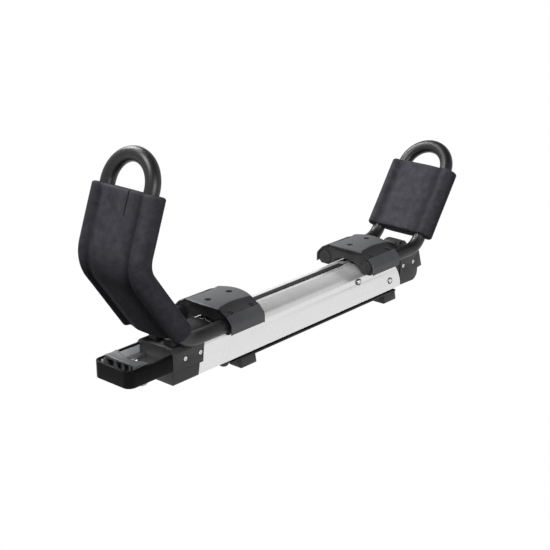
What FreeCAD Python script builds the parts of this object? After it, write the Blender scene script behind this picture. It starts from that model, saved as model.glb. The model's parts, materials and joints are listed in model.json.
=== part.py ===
import math
import os

import FreeCAD
import Part
import Sketcher
from FreeCAD import Vector

# Lift-assist kayak rack for one crossbar, folded for driving. Millimetres, +Z up.
# The grab handle points along -X, the inner end along +X, and Z = 0 is the underside of the clamp jaws.
doc = FreeCAD.newDocument("KayakRack")
sheet = doc.addObject("Spreadsheet::Sheet", "Dims")

# Driving dimensions
DIMENSIONS = {
    # Outer beam, an extrusion open below
    "beam_start": -297.0, "beam_end": 276.0, "beam_bottom": 25.0, "beam_crest": 96.3,
    "beam_half": 43.5, "beam_wall": 3.0, "beam_shoulder_half": 32.0, "beam_shoulder_drop": 8.8,
    "slot_neck": 8.7, "slot_lip": 2.5, "slot_width": 17.0, "slot_depth": 10.5,
    "beam_scoop_radius": 89.0, "beam_scoop_height": 16.0,
    # Base rail and its pivots
    "rail_start": -215.0, "rail_end": 262.0, "rail_bottom": 17.0, "rail_thickness": 4.0,
    "rail_lip_half": 42.0, "rail_flange_half": 37.0, "rail_flange_wall": 3.0, "rail_flange_top": 40.0,
    "rail_notch_gap": 1.5, "rail_notch_setback": 15.0, "bracket_thickness": 3.3,
    "pivot_fit": 0.05, "side_gap": 0.3,
    "lift_pivot_along": -200.0, "lift_pivot_height": 44.0,
    "control_pivot_along": -131.2, "control_pivot_height": 30.0, "base_pin_radius": 4.0,
    # Clamp jaws and their knobs
    "jaw_length": 37.0, "jaw_outer_start": -190.0, "jaw_inner_start": 224.0,
    "bar_width": 25.0, "jaw_foot_half": 43.5, "jaw_top_half": 41.0, "jaw_edge": 3.0,
    "jaw_bolt_radius": 4.0, "knob_radius": 9.0, "knob_offset": 17.0, "knob_half_spacing": 15.0,
    # Lift arms, control arm and gas struts
    "arm_inner_face": 24.0, "arm_thickness": 5.0, "arm_half_height": 8.0, "arm_pin_radius": 5.0,
    "arm_slot_margin": 25.0, "arm_slot_bridge": 10.0,
    "carry_along": 139.3, "carry_height": 70.3, "stud_along": 240.1, "stud_height": 45.1,
    "control_half_thickness": 5.0, "strut_half_spacing": 15.0, "strut_radius": 8.0, "strut_wall": 1.5,
    "strut_length": 176.0, "rod_radius": 3.5, "strut_mount_offset": 35.0, "strut_pin_radius": 3.0,
    "crank_radius": 28.0, "crank_angle": -40.0, "crank_ear_half": 1.5, "fork_thickness": 3.4,
    "eye_radius": 6.5, "piston_from_eye": 186.0, "fork_depth": 27.0,
    # Hubs that clamp the cradle tubes to the beam
    "outer_hub_along": -201.5, "inner_hub_along": 191.5,
    "hub_half_length": 49.5, "hub_foot_half_length": 41.5, "hub_overhang": 20.0, "hub_rise": 31.8,
    "hub_shoulder": 30.0, "hub_plate_drop": 5.8, "hub_facet_width": 18.0, "hub_facet_drop": 7.0,
    "skirt_reach": 11.2, "skirt_rise": 6.0, "cover_wall": 2.2, "cover_gap": 0.2,
    "saddle_inset": 2.5, "saddle_drop": 3.5, "arch_clearance": 6.5, "saddle_seat_half": 20.0,
    "hub_screw_along": 26.4, "hub_screw_outset": 1.5, "hub_screw_radius": 3.6, "screw_bite": 4.0,
    "middle_screw_depth": 6.0, "side_screw_depth": 8.2,
    # Cradle tubes and foam pads
    "tube_radius": 12.7, "tube_wall": 2.0, "tube_beside_beam": 6.5, "tube_above_crest": 1.2,
    "tube_end_reach": 38.0, "tube_bend": 45.0, "pad_bend": 52.0,
    "outer_elbow_along": -333.5, "outer_leg_angle": 54.5, "outer_knee_height": 246.0,
    "outer_top_angle": 69.8, "outer_loop_height": 413.0,
    "inner_elbow_along": 312.0, "inner_leg_angle": 55.0, "inner_loop_height": 272.3,
    "pad_overhang": 25.0, "pad_half_thickness": 22.0, "pad_web_half_thickness": 17.5, "pad_web_half": 22.0,
    "pad_bore_gap": 0.3, "outer_pad_top": 361.0, "inner_pad_top": 235.6, "pad_foot_gap": 2.0,
    "plug_cap": 4.0, "plug_spigot": 12.0,
    # End caps, handle and release lever
    "cap_front": -355.0, "cap_half": 43.0, "cap_top": 86.0, "cap_side_top": 78.0, "cap_wall": 3.5,
    "cap_gap": 0.3, "cap_slant_top": 77.0, "cap_slant_foot": 69.5, "cap_step": 61.0,
    "chin_bottom": 23.5, "seam_height": 46.0,
    "block_top": 96.0, "block_half": 30.0, "block_start": -343.0, "block_end": -286.0, "block_notch": 9.0,
    "screw_height": 64.0, "screw_head": 4.0, "screw_recess": 5.6, "screw_sink": 2.0,
    "handle_front": -452.5, "handle_bottom": 49.5, "handle_top": 79.0, "handle_corner": 14.0,
    "handle_wall": 4.5, "strap_wall": 2.0,
    "strap_lobe_along": -416.0, "strap_lobe_half": 15.0, "strap_lobe_bottom": 44.5,
    "lever_front_gap": 8.0, "lever_depth": 34.0, "lever_scoop": 15.0, "lever_top": 86.0,
    "lever_dip": 6.0, "lever_corner": 9.0,
    "pull_rod_radius": 3.0, "pull_rod_half_spacing": 24.0,
    "inner_cap_start": 277.0, "inner_cap_tab": 349.0, "plug_inset": 1.1, "plug_reach": 22.0,
    "plug_bottom": 43.0, "plug_top": 64.0, "cleat_start": 292.0, "cleat_top": 107.0,
    "cleat_half": 13.0,
}
# Sizes that follow from the driving ones
FORMULAS = {
    "tube_height": "=beam_crest + tube_above_crest",
    "tube_half_spacing": "=beam_half + tube_beside_beam",
    "hub_half_width": "=tube_half_spacing + hub_overhang",
    "hub_plate_half": "=hub_half_width - hub_shoulder",
    "hub_screw_across": "=tube_half_spacing + hub_screw_outset",
    "hub_top": "=tube_height + hub_rise",
    "hub_skirt_top": "=tube_height + skirt_rise",
    "hub_skirt_bottom": "=tube_height - skirt_reach",
    "pad_half_width": "=tube_half_spacing + pad_overhang",
}
for row, (alias, value) in enumerate({**DIMENSIONS, **FORMULAS}.items(), start=1):
    sheet.set(f"A{row}", alias)
    sheet.set(f"B{row}", str(value))
    sheet.setAlias(f"B{row}", alias)
doc.recompute()


class Sizes:
    """Reads a driving dimension from the sheet by its alias."""

    def __getattr__(self, alias):
        return float(sheet.get(alias))


d = Sizes()
pieces = []

FLAT = "XY_Plane"
SIDE = "XZ_Plane"
END = "YZ_Plane"


def new_body(label):
    body = doc.addObject("PartDesign::Body", label)
    body.Label = label
    pieces.append(body)
    return body


def plain_feature(label, shape):
    """A piece whose shape is worked out in code from the sheet."""
    feature = doc.addObject("Part::Feature", label)
    feature.Label = label
    feature.Shape = shape
    pieces.append(feature)
    return feature


def new_sketch(body, name, plane, offset):
    """A sketch on one of the body's own origin planes, shifted by an expression along its normal."""
    sketch = body.newObject("Sketcher::SketchObject", name)
    origin_plane = [f for f in body.Origin.OriginFeatures if f.Role == plane][0]
    sketch.AttachmentSupport = [(origin_plane, "")]
    sketch.MapMode = "FlatFace"
    sketch.setExpression("AttachmentOffset.Base.z", offset)
    return sketch


def flat(point):
    return Vector(point[0], point[1], 0)


def end_of(step):
    """The end point of a step: a plain point, or an arc given as a point on it and its end."""
    return step[1] if isinstance(step[0], tuple) else step


def draw(sketch, steps):
    """Draws a closed outline from its first point through each step and back."""
    here = steps[0]
    edges = []
    for step in steps[1:] + [steps[0]]:
        end = end_of(step)
        if math.dist(here, end) < 1e-6:
            continue
        if isinstance(step[0], tuple):
            edges.append(Part.Arc(flat(here), flat(step[0]), flat(end)))
        else:
            edges.append(Part.LineSegment(flat(here), flat(end)))
        here = end
    sketch.addGeometry(edges, False)


def mirrored(steps):
    """The same steps on the other side of the centre line."""
    out = []
    for step in steps:
        if isinstance(step[0], tuple):
            out.append(((-step[0][0], step[0][1]), (-step[1][0], step[1][1])))
        else:
            out.append((-step[0], step[1]))
    return out


def backwards(steps):
    """The same steps run from the last end point to the first."""
    out = [end_of(steps[-1])]
    for index in range(len(steps) - 1, 0, -1):
        before = end_of(steps[index - 1])
        if isinstance(steps[index][0], tuple):
            out.append((steps[index][0], before))
        else:
            out.append(before)
    return out


def closed_section(right_half):
    """A full outline from its right half, listed from the bottom to the top."""
    return right_half + backwards(mirrored(right_half))


def open_section(outer_half, inner_half):
    """A channel open below, from the right halves of its outer and inner outlines."""
    over = outer_half + backwards(mirrored(outer_half))
    return over + mirrored(inner_half) + backwards(inner_half)


def add_pad(body, name, plane, offset, length, steps, side="One side"):
    sketch = new_sketch(body, name + "_outline", plane, offset)
    draw(sketch, steps)
    pad = body.newObject("PartDesign::Pad", name)
    pad.Profile = sketch
    pad.setExpression("Length", length)
    pad.SideType = side
    doc.recompute()
    return pad


def add_pocket(body, name, plane, steps=None, circle=None, offset="0", length=None, flip=False):
    """Cuts an outline, or a circle given as centre and radius alias, out of the body."""
    before = body.Shape.Volume
    sketch = new_sketch(body, name + "_outline", plane, offset)
    if circle:
        index = sketch.addGeometry(Part.Circle(flat(circle[0]), Vector(0, 0, 1), 1.0), False)
        bound = sketch.addConstraint(Sketcher.Constraint("Radius", index, 1.0))
        sketch.setExpression(f"Constraints[{bound}]", circle[1])
    else:
        draw(sketch, steps)
    pocket = body.newObject("PartDesign::Pocket", name)
    pocket.Profile = sketch
    if length is None:
        pocket.Type = "ThroughAll"
        pocket.SideType = "Symmetric"
    else:
        pocket.setExpression("Length", length)
        pocket.Reversed = flip
    doc.recompute()
    if body.Shape.Volume > before - 1e-6:
        raise RuntimeError(f"{name} cuts nothing")
    return pocket


def rod_across(x, z, radius, start, end):
    """A cylinder along Y between two places."""
    return Part.makeCylinder(radius, end - start, Vector(x, start, z), Vector(0, 1, 0))


def both_sides(shape):
    """The shape and its mirror image across the centre plane, as separate solids."""
    return [shape, shape.mirror(Vector(0, 0, 0), Vector(0, 1, 0))]


def turned(x, z, angle, pivot):
    """A place in the XZ plane turned about a pivot, and moved by it."""
    radians = math.radians(angle)
    return (
        pivot[0] + x * math.cos(radians) - z * math.sin(radians),
        pivot[1] + x * math.sin(radians) + z * math.cos(radians),
    )


# Outer beam: crowned top with a T-slot, barrelled sides, open below
shoulder_z = d.beam_crest - d.beam_shoulder_drop
side_mid_z = d.beam_bottom + 20.0
side_top_z = shoulder_z - 20.5
slot_floor = d.beam_crest - d.slot_depth
lip_floor = d.beam_crest - d.slot_lip
slot_rib = d.slot_width / 2 + d.beam_wall


def beam_side(inset):
    """The right half of the beam's outline up to its shoulder, moved in by a wall."""
    return [
        (d.beam_half - 1.0 - inset, d.beam_bottom),
        ((d.beam_half - inset, side_mid_z), (d.beam_half - 1.5 - inset, side_top_z)),
        ((d.beam_half - 4.3 - inset, shoulder_z - 6.5),
         (d.beam_shoulder_half - inset, shoulder_z - inset / 2)),
    ]


beam = new_body("beam")
beam_outer = beam_side(0) + [
    ((19.0, d.beam_crest - 3.2), (d.slot_neck / 2, d.beam_crest)),
    (d.slot_neck / 2, lip_floor),
    (d.slot_width / 2, lip_floor),
    (d.slot_width / 2, slot_floor),
]
beam_inner = beam_side(d.beam_wall) + [
    (slot_rib, shoulder_z),
    (slot_rib, slot_floor - d.beam_wall),
]
add_pad(beam, "beam_extrusion", END, "Dims.beam_start", "Dims.beam_end - Dims.beam_start",
        open_section(beam_outer, beam_inner))

# The outer end follows the cap's slanted edge and step, and the inner end is scooped
slant_top = d.cap_front + d.cap_slant_top
slant_foot = d.cap_front + d.cap_slant_foot
step_along = d.cap_front + d.cap_step
far_left = d.beam_start - 5.0
end_edge = [
    (d.beam_start, d.chin_bottom - 2.0), (step_along, d.seam_height), (slant_foot, d.seam_height),
    (slant_top, d.beam_crest + 5.0),
]
add_pocket(beam, "outer_end_cut", SIDE,
           end_edge + [(far_left, d.beam_crest + 5.0), (far_left, d.chin_bottom - 2.0)])
scoop = d.beam_scoop_radius
scoop_along = d.beam_end - math.sqrt(scoop ** 2 - (d.beam_bottom - d.beam_scoop_height) ** 2)
scoop_top_z = d.beam_crest + 5.0
scoop_top_x = scoop_along + math.sqrt(scoop ** 2 - (scoop_top_z - d.beam_scoop_height) ** 2)
scoop_mid = math.radians(35.0)
scoop_foot_z = d.beam_bottom - 1.0
scoop_foot_x = scoop_along + math.sqrt(scoop ** 2 - (scoop_foot_z - d.beam_scoop_height) ** 2)
add_pocket(beam, "inner_end_scoop", SIDE, [
    (d.beam_end + 5.0, scoop_foot_z),
    (scoop_foot_x, scoop_foot_z),
    ((scoop_along + scoop * math.cos(scoop_mid), d.beam_scoop_height + scoop * math.sin(scoop_mid)),
     (scoop_top_x, scoop_top_z)),
    (d.beam_end + 5.0, scoop_top_z),
])
carry = (d.carry_along, d.carry_height)
stud = (d.stud_along, d.stud_height)
add_pocket(beam, "carry_pin_holes", SIDE, circle=(carry, "Dims.arm_pin_radius + Dims.side_gap"))
add_pocket(beam, "control_stud_holes", SIDE, circle=(stud, "Dims.arm_pin_radius + Dims.side_gap"))

# Base rail: a channel with lips below the beam's edges
rail_floor = d.rail_bottom + d.rail_thickness
flange_inner = d.rail_flange_half - d.rail_flange_wall
rail = new_body("base_rail")
add_pad(rail, "rail_section", END, "Dims.rail_start", "Dims.rail_end - Dims.rail_start", [
    (d.rail_lip_half, d.rail_bottom), (d.rail_lip_half, rail_floor), (d.rail_flange_half, rail_floor),
    (d.rail_flange_half, d.rail_flange_top), (flange_inner, d.rail_flange_top), (flange_inner, rail_floor),
    (-flange_inner, rail_floor), (-flange_inner, d.rail_flange_top),
    (-d.rail_flange_half, d.rail_flange_top), (-d.rail_flange_half, rail_floor),
    (-d.rail_lip_half, rail_floor), (-d.rail_lip_half, d.rail_bottom),
])

control_clear = d.control_half_thickness + d.rail_notch_gap
notch_end = d.control_pivot_along - d.rail_notch_setback
add_pocket(rail, "control_arm_notch", FLAT, [
    (d.rail_start - 1.0, -control_clear), (notch_end, -control_clear),
    (notch_end, control_clear), (d.rail_start - 1.0, control_clear),
])

# Pivot brackets: cheeks on the rail floor against its flanges
lift_pivot = (d.lift_pivot_along, d.lift_pivot_height)
control_pivot = (d.control_pivot_along, d.control_pivot_height)
boss = d.arm_half_height + 1.0
cheek = [
    (lift_pivot[0] - boss - 3.0, rail_floor),
    (lift_pivot[0] - boss, lift_pivot[1]),
    ((lift_pivot[0], lift_pivot[1] + boss), (lift_pivot[0] + boss, lift_pivot[1])),
    (control_pivot[0] - boss, control_pivot[1] + 5.0),
    ((control_pivot[0], control_pivot[1] + boss), (control_pivot[0] + boss, control_pivot[1])),
    (control_pivot[0] + boss + 4.0, rail_floor),
]
for name, offset in (
    ("pivot_bracket_near", "Dims.rail_flange_half - Dims.rail_flange_wall - Dims.bracket_thickness"),
    ("pivot_bracket_far", "-(Dims.rail_flange_half - Dims.rail_flange_wall)"),
):
    bracket = new_body(name)
    add_pad(bracket, name + "_cheek", SIDE, offset, "Dims.bracket_thickness", cheek)
    add_pocket(bracket, name + "_lift_hole", SIDE, circle=(lift_pivot, "Dims.base_pin_radius"))
    add_pocket(bracket, name + "_control_hole", SIDE, circle=(control_pivot, "Dims.base_pin_radius"))

plain_feature("lift_pivot_pins", Part.makeCompound(both_sides(
    rod_across(*lift_pivot, d.base_pin_radius, d.arm_inner_face - 2.0, flange_inner))))
plain_feature("control_pivot_pin",
              rod_across(*control_pivot, d.base_pin_radius, -flange_inner, flange_inner))

# Clamp jaws, a pair at each end of the rail, with a slot for the crossbar between them
JAWS = (("outer", d.jaw_outer_start), ("inner", d.jaw_inner_start))
bar_half = d.bar_width / 2
bolt_inset = d.jaw_bolt_radius + 4.5
edge = d.jaw_edge
for name, start in JAWS:
    for side, sign in (("near", -1.0), ("far", 1.0)):
        jaw = new_body(f"{name}_jaw_{side}")
        add_pad(jaw, f"{name}_{side}_block", END, f"Dims.jaw_{name}_start", "Dims.jaw_length", [
            (sign * bar_half, 0.0),
            (sign * (d.jaw_foot_half - edge), 0.0),
            ((sign * (d.jaw_foot_half - edge * 0.3), edge * 0.3), (sign * d.jaw_foot_half, edge)),
            (sign * d.jaw_top_half, d.rail_bottom),
            (sign * bar_half, d.rail_bottom),
        ])
        bolt_y = sign * (bar_half + bolt_inset)
        add_pocket(jaw, f"{name}_{side}_bolt_hole", FLAT,
                   circle=((start + d.jaw_length / 2, bolt_y), "Dims.jaw_bolt_radius"))
jaw_bolts = []
for name, start in JAWS:
    for sign in (-1.0, 1.0):
        place = Vector(start + d.jaw_length / 2, sign * (bar_half + bolt_inset), 0)
        hole = f"{name}_{'near' if sign < 0 else 'far'}_rail_hole"
        add_pocket(rail, hole, FLAT, circle=((place.x, place.y), "Dims.jaw_bolt_radius"))
        shank = Part.makeCylinder(d.jaw_bolt_radius, rail_floor - edge, place + Vector(0, 0, edge))
        head = Part.makeCylinder(d.jaw_bolt_radius + 2.5, 3.0, place + Vector(0, 0, rail_floor))
        jaw_bolts.append(shank.fuse(head))
plain_feature("jaw_bolts", Part.makeCompound(jaw_bolts))

# Domed clamp knobs under the rail, beside each pair of jaws
knobs = []
for name, start in JAWS:
    for sign in (-1.0, 1.0):
        dome = Part.makeSphere(d.knob_radius * 1.25, Vector(0, 0, d.knob_radius * 1.25 + 2.0))
        column = Part.makeCylinder(d.knob_radius, d.rail_bottom)
        knob = dome.fuse(Part.makeCylinder(
            d.knob_radius * 1.25, d.rail_bottom, Vector(0, 0, d.knob_radius * 1.25 + 2.0))).common(column)
        knob.translate(Vector(start - d.knob_offset, sign * d.knob_half_spacing, 0))
        knobs.append(knob)
plain_feature("clamp_knobs", Part.makeCompound(knobs))

# Lift arms: two flat bars inside the beam, from the base pivots to the carry pin
lift_slope = math.degrees(math.atan2(carry[1] - lift_pivot[1], carry[0] - lift_pivot[0]))
lift_length = math.dist(carry, lift_pivot)
half_height = d.arm_half_height


def bar_outline(length, slope, pivot):
    """A flat bar with rounded ends, from a pivot along a slope."""
    corners = [
        turned(0, -half_height, slope, pivot), turned(length, -half_height, slope, pivot),
        turned(length + half_height, 0, slope, pivot), turned(length, half_height, slope, pivot),
        turned(0, half_height, slope, pivot), turned(-half_height, 0, slope, pivot),
    ]
    return [corners[0], corners[1], (corners[2], corners[3]), corners[4], (corners[5], corners[0])]


def slot_outline(start, end, half, slope, pivot):
    """A long lightening slot along a bar."""
    corners = [
        turned(start, -half, slope, pivot), turned(end, -half, slope, pivot),
        turned(end + half, 0, slope, pivot), turned(end, half, slope, pivot),
        turned(start, half, slope, pivot), turned(start - half, 0, slope, pivot),
    ]
    return [corners[0], corners[1], (corners[2], corners[3]), corners[4], (corners[5], corners[0])]


mount_reach = d.strut_mount_offset
slot_half_height = half_height * 0.45
for name, offset in (("lift_arm_near", "Dims.arm_inner_face"),
                     ("lift_arm_far", "-(Dims.arm_inner_face + Dims.arm_thickness)")):
    arm = new_body(name)
    add_pad(arm, name + "_bar", SIDE, offset, "Dims.arm_thickness",
            bar_outline(lift_length, lift_slope, lift_pivot))
    add_pocket(arm, name + "_base_bore", SIDE, circle=(lift_pivot, "Dims.base_pin_radius + Dims.pivot_fit"))
    add_pocket(arm, name + "_carry_bore", SIDE, circle=(carry, "Dims.arm_pin_radius + Dims.pivot_fit"))
    slots = 3
    pitch = (lift_length - mount_reach - 2 * d.arm_slot_margin) / slots
    for index in range(slots):
        first = mount_reach + d.arm_slot_margin + index * pitch
        slot = slot_outline(first + d.arm_slot_bridge, first + pitch - d.arm_slot_bridge, slot_half_height,
                            lift_slope, lift_pivot)
        add_pocket(arm, f"{name}_slot_{index + 1}", SIDE, slot)

# Control arm: one bar on the centre line, open at the stud end
control_slope = math.degrees(math.atan2(stud[1] - control_pivot[1], stud[0] - control_pivot[0]))
control_length = math.dist(stud, control_pivot)
control = new_body("control_arm")
add_pad(control, "control_bar", SIDE, "0", "2 * Dims.control_half_thickness",
        bar_outline(control_length, control_slope, control_pivot), side="Symmetric")
add_pocket(control, "control_base_bore", SIDE,
           circle=(control_pivot, "Dims.base_pin_radius + Dims.pivot_fit"))
add_pocket(control, "control_stud_bore", SIDE, circle=(stud, "Dims.arm_pin_radius + Dims.side_gap"))

# Pins that the carriage turns on
beam_pin_half = d.beam_half - 2.6
plain_feature("carry_pin", rod_across(*carry, d.arm_pin_radius, -beam_pin_half, beam_pin_half))
plain_feature("control_studs", Part.makeCompound(both_sides(
    rod_across(*stud, d.arm_pin_radius, d.control_half_thickness + d.side_gap, d.beam_half - 1.0))))

# Crank on the carry pin: a sleeve with an ear for each gas strut
crank_pin = turned(d.crank_radius, 0, d.crank_angle, carry)
ear_low = d.strut_half_spacing - d.crank_ear_half
ear_high = d.strut_half_spacing + d.crank_ear_half
sleeve_radius = d.arm_pin_radius + 2.5
sleeve_half = d.arm_inner_face - 1.0
crank = rod_across(*carry, sleeve_radius, -sleeve_half, sleeve_half)


def ear_between(y_low, y_high):
    """A flat ear from the sleeve out to the crank pin."""
    steps = [turned(0, -5.0, d.crank_angle, carry), turned(d.crank_radius, -5.0, d.crank_angle, carry),
             turned(d.crank_radius, 5.0, d.crank_angle, carry), turned(0, 5.0, d.crank_angle, carry)]
    face = Part.Face(Part.makePolygon([Vector(x, y_low, z) for x, z in steps + steps[:1]]))
    plate = face.extrude(Vector(0, y_high - y_low, 0))
    return plate.fuse(rod_across(*crank_pin, 5.0, y_low, y_high))


for low, high in ((ear_low, ear_high), (-ear_high, -ear_low)):
    crank = crank.fuse(ear_between(low, high))
    crank = crank.fuse(rod_across(*crank_pin, d.strut_pin_radius, low - d.side_gap, high + d.side_gap))
crank = crank.cut(rod_across(*carry, d.arm_pin_radius, -sleeve_half, sleeve_half)).removeSplitter()
plain_feature("strut_crank", crank)

# Gas struts: cylinders carried by the lift arms, rods that push the cranks
strut_mount = turned(mount_reach, 0, lift_slope, lift_pivot)
strut_slope = math.degrees(math.atan2(crank_pin[1] - strut_mount[1], crank_pin[0] - strut_mount[0]))
strut_reach = math.dist(crank_pin, strut_mount)


def along_strut(shape, y):
    """Places a shape made along +X at the strut mount, on the strut's own line."""
    shape.rotate(Vector(0, 0, 0), Vector(0, 1, 0), -strut_slope)
    shape.translate(Vector(strut_mount[0], y, strut_mount[1]))
    return shape


def turned_profile(points):
    """A solid of revolution about +X from points of distance along and radius."""
    wire = Part.makePolygon([Vector(x, 0, r) for x, r in points + points[:1]])
    return Part.Face(wire).revolve(Vector(0, 0, 0), Vector(1, 0, 0), 360)


bore_radius = d.strut_radius - d.strut_wall
tube_start = d.eye_radius + 4.0
tube_end = tube_start + d.strut_length
gland = 8.0
rod_hole = d.rod_radius + d.pivot_fit
piston_start = strut_reach - d.piston_from_eye
fork_root = strut_reach - d.fork_depth
fork_end = strut_reach + 6.0
fork_half = d.crank_ear_half + d.side_gap * 2 + d.fork_thickness

for side, sign in (("near", -1.0), ("far", 1.0)):
    y = sign * d.strut_half_spacing
    tube = turned_profile([
        (tube_start, 0), (tube_start, d.strut_radius), (tube_end, d.strut_radius), (tube_end, rod_hole),
        (tube_end - gland, rod_hole), (tube_end - gland, bore_radius), (tube_start + 4.0, bore_radius),
        (tube_start + 4.0, 0),
    ])
    eye = Part.makeCylinder(d.eye_radius, 8.0, Vector(0, -4.0, 0), Vector(0, 1, 0))
    neck = Part.makeBox(tube_start + 0.5, 8.0, 8.0, Vector(0, -4.0, -4.0))
    body_shape = tube.fuse(eye).fuse(neck)
    body_shape = body_shape.cut(Part.makeCylinder(
        d.strut_pin_radius, 10.0, Vector(0, -5.0, 0), Vector(0, 1, 0)))
    plain_feature(f"gas_strut_cylinder_{side}", along_strut(body_shape.removeSplitter(), y))

    rod = turned_profile([
        (piston_start, 0), (piston_start, bore_radius - d.pivot_fit),
        (piston_start + 7.0, bore_radius - d.pivot_fit), (piston_start + 7.0, d.rod_radius),
        (fork_root, d.rod_radius), (fork_root, 0),
    ])
    fork = Part.makeBox(fork_end - fork_root + 5.0, 2 * fork_half, 10.0,
                        Vector(fork_root - 5.0, -fork_half, -5.0))
    gap_half = d.crank_ear_half + d.side_gap * 2
    fork = fork.cut(Part.makeBox(fork_end - fork_root + 1.0, 2 * gap_half, 12.0,
                                 Vector(fork_root, -gap_half, -6.0)))
    fork = fork.cut(Part.makeCylinder(d.strut_pin_radius + d.pivot_fit, 30.0,
                                      Vector(strut_reach, -15.0, 0), Vector(0, 1, 0)))
    plain_feature(f"gas_strut_rod_{side}", along_strut(rod.fuse(fork).removeSplitter(), y))
plain_feature("strut_mount_pins", Part.makeCompound(both_sides(
    rod_across(*strut_mount, d.strut_pin_radius, d.strut_half_spacing - 5.0, d.arm_inner_face))))

# Hubs: a saddle on the beam's crown that carries the tubes, and a cover screwed down on it
half_width = d.hub_half_width
plate_edge = d.hub_top - d.hub_plate_drop
cover_outside = [
    (half_width, d.hub_skirt_top),
    (d.hub_plate_half + d.hub_facet_width, plate_edge - d.hub_facet_drop),
    (d.hub_plate_half, plate_edge),
    ((d.hub_plate_half / 2, d.hub_top - d.hub_plate_drop / 4), (0.0, d.hub_top)),
]


def sunk(steps, depth):
    """The hub's outside moved in and down by a wall; the middle of its arch only moves down."""
    def lower(point):
        share = point[0] / half_width
        return (point[0] - depth * share, point[1] - depth)
    return [tuple(lower(p) for p in step) if isinstance(step[0], tuple) else lower(step) for step in steps]


skirt_foot = (half_width - d.cover_wall, d.hub_skirt_bottom)
cover_half = [skirt_foot, (half_width, d.hub_skirt_bottom)] + cover_outside
cover_under = [skirt_foot] + sunk(cover_outside, d.cover_wall)
arch_top = d.beam_crest + d.arch_clearance
saddle_bottom = d.hub_skirt_bottom - d.saddle_drop
saddle_side = half_width - d.cover_wall - d.cover_gap
saddle_outline = [
    (0.0, arch_top),
    ((14.0, arch_top - 0.6), (24.0, arch_top - 4.5)),
    (d.beam_shoulder_half + 6.0, shoulder_z - 2.0),
    (d.beam_shoulder_half + 10.0, saddle_bottom),
    (saddle_side - 8.0, saddle_bottom),
    (saddle_side, saddle_bottom + 8.0),
] + sunk(cover_outside, d.cover_wall + d.cover_gap)
tube_places = [(sign * d.tube_half_spacing, d.tube_height) for sign in (-1.0, 1.0)]
HUBS = (("outer", -1.0, d.outer_hub_along), ("inner", 1.0, d.inner_hub_along))
screw_places = [(i * d.hub_screw_along, j * d.hub_screw_across) for i in (-1, 1) for j in (-1, 0, 1)]


def screw_seat(y):
    """The height of a screw's seat in the saddle, lower on the side rows."""
    if y == 0:
        return d.hub_top - d.middle_screw_depth
    return plate_edge - d.side_screw_depth


for name, sign, centre in HUBS:
    middle = f"Dims.{name}_hub_along"
    saddle_half = "(Dims.hub_foot_half_length - Dims.saddle_inset)"
    saddle = new_body(f"{name}_saddle")
    add_pad(saddle, f"{name}_saddle_arch", END, f"{middle} - {saddle_half}", f"2 * {saddle_half}",
            closed_section(saddle_outline))
    for index, place in enumerate(tube_places):
        add_pocket(saddle, f"{name}_tube_bore_{index + 1}", END,
                   circle=(place, "Dims.tube_radius + Dims.pivot_fit"))
    seat_half = d.beam_shoulder_half / 2
    neck_edge = d.slot_neck / 2 + 2.0
    seat_start = f"{middle} - Dims.saddle_seat_half"
    add_pad(saddle, f"{name}_saddle_seat", END, seat_start, "2 * Dims.saddle_seat_half", [
        (-seat_half, arch_top + 3.0), (-seat_half, d.beam_crest - 2.0), (-neck_edge, d.beam_crest),
        (neck_edge, d.beam_crest), (seat_half, d.beam_crest - 2.0), (seat_half, arch_top + 3.0),
    ])
    for index, (along, y) in enumerate(screw_places):
        seat = screw_seat(y)
        place = (centre + along, y)
        add_pocket(saddle, f"{name}_counterbore_{index + 1}", FLAT, circle=(place, "Dims.hub_screw_radius"),
                   offset=f"{seat}", length="Dims.hub_top", flip=True)
        add_pocket(saddle, f"{name}_pilot_{index + 1}", FLAT, circle=(place, "Dims.hub_screw_radius / 2"),
                   offset=f"{seat - d.screw_bite}", length="Dims.hub_top", flip=True)

    cover = new_body(f"{name}_cover")
    add_pad(cover, f"{name}_cover_shell", END, f"{middle} - Dims.hub_half_length",
            "2 * Dims.hub_half_length", open_section(cover_half, cover_under))
    for end_sign, end_name in ((-1.0, "front"), (1.0, "back")):
        tip = centre + end_sign * (d.hub_half_length + 1.0)
        corner_x = centre + end_sign * d.hub_foot_half_length
        add_pocket(cover, f"{name}_{end_name}_bow", FLAT, [
            (tip, -half_width - 1.0), (corner_x, -half_width - 1.0), (corner_x, -d.hub_plate_half),
            ((centre + end_sign * d.hub_half_length, 0.0), (corner_x, d.hub_plate_half)),
            (corner_x, half_width + 1.0), (tip, half_width + 1.0),
        ])
    screws = []
    for index, (along, y) in enumerate(screw_places):
        place = (centre + along, y)
        add_pocket(cover, f"{name}_screw_hole_{index + 1}", FLAT, circle=(place, "Dims.hub_screw_radius"),
                   offset="Dims.hub_skirt_top", length="Dims.hub_top", flip=True)
        seat = Vector(place[0], y, screw_seat(y))
        head = Part.makeCylinder(d.hub_screw_radius - 0.1, 2.5, seat)
        socket = Part.makeCylinder(1.5, 1.5, seat + Vector(0, 0, 1.0))
        shank = Part.makeCylinder(d.hub_screw_radius / 2, d.screw_bite, seat - Vector(0, 0, d.screw_bite))
        screws.append(head.cut(socket).fuse(shank))
    plain_feature(f"{name}_cover_screws", Part.makeCompound(screws))

# Cradle tubes: each starts in its hub, bends up, loops over and comes back on the other side


def unit(a, b):
    length = math.dist(a, b)
    return ((b[0] - a[0]) / length, (b[1] - a[1]) / length)


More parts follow.
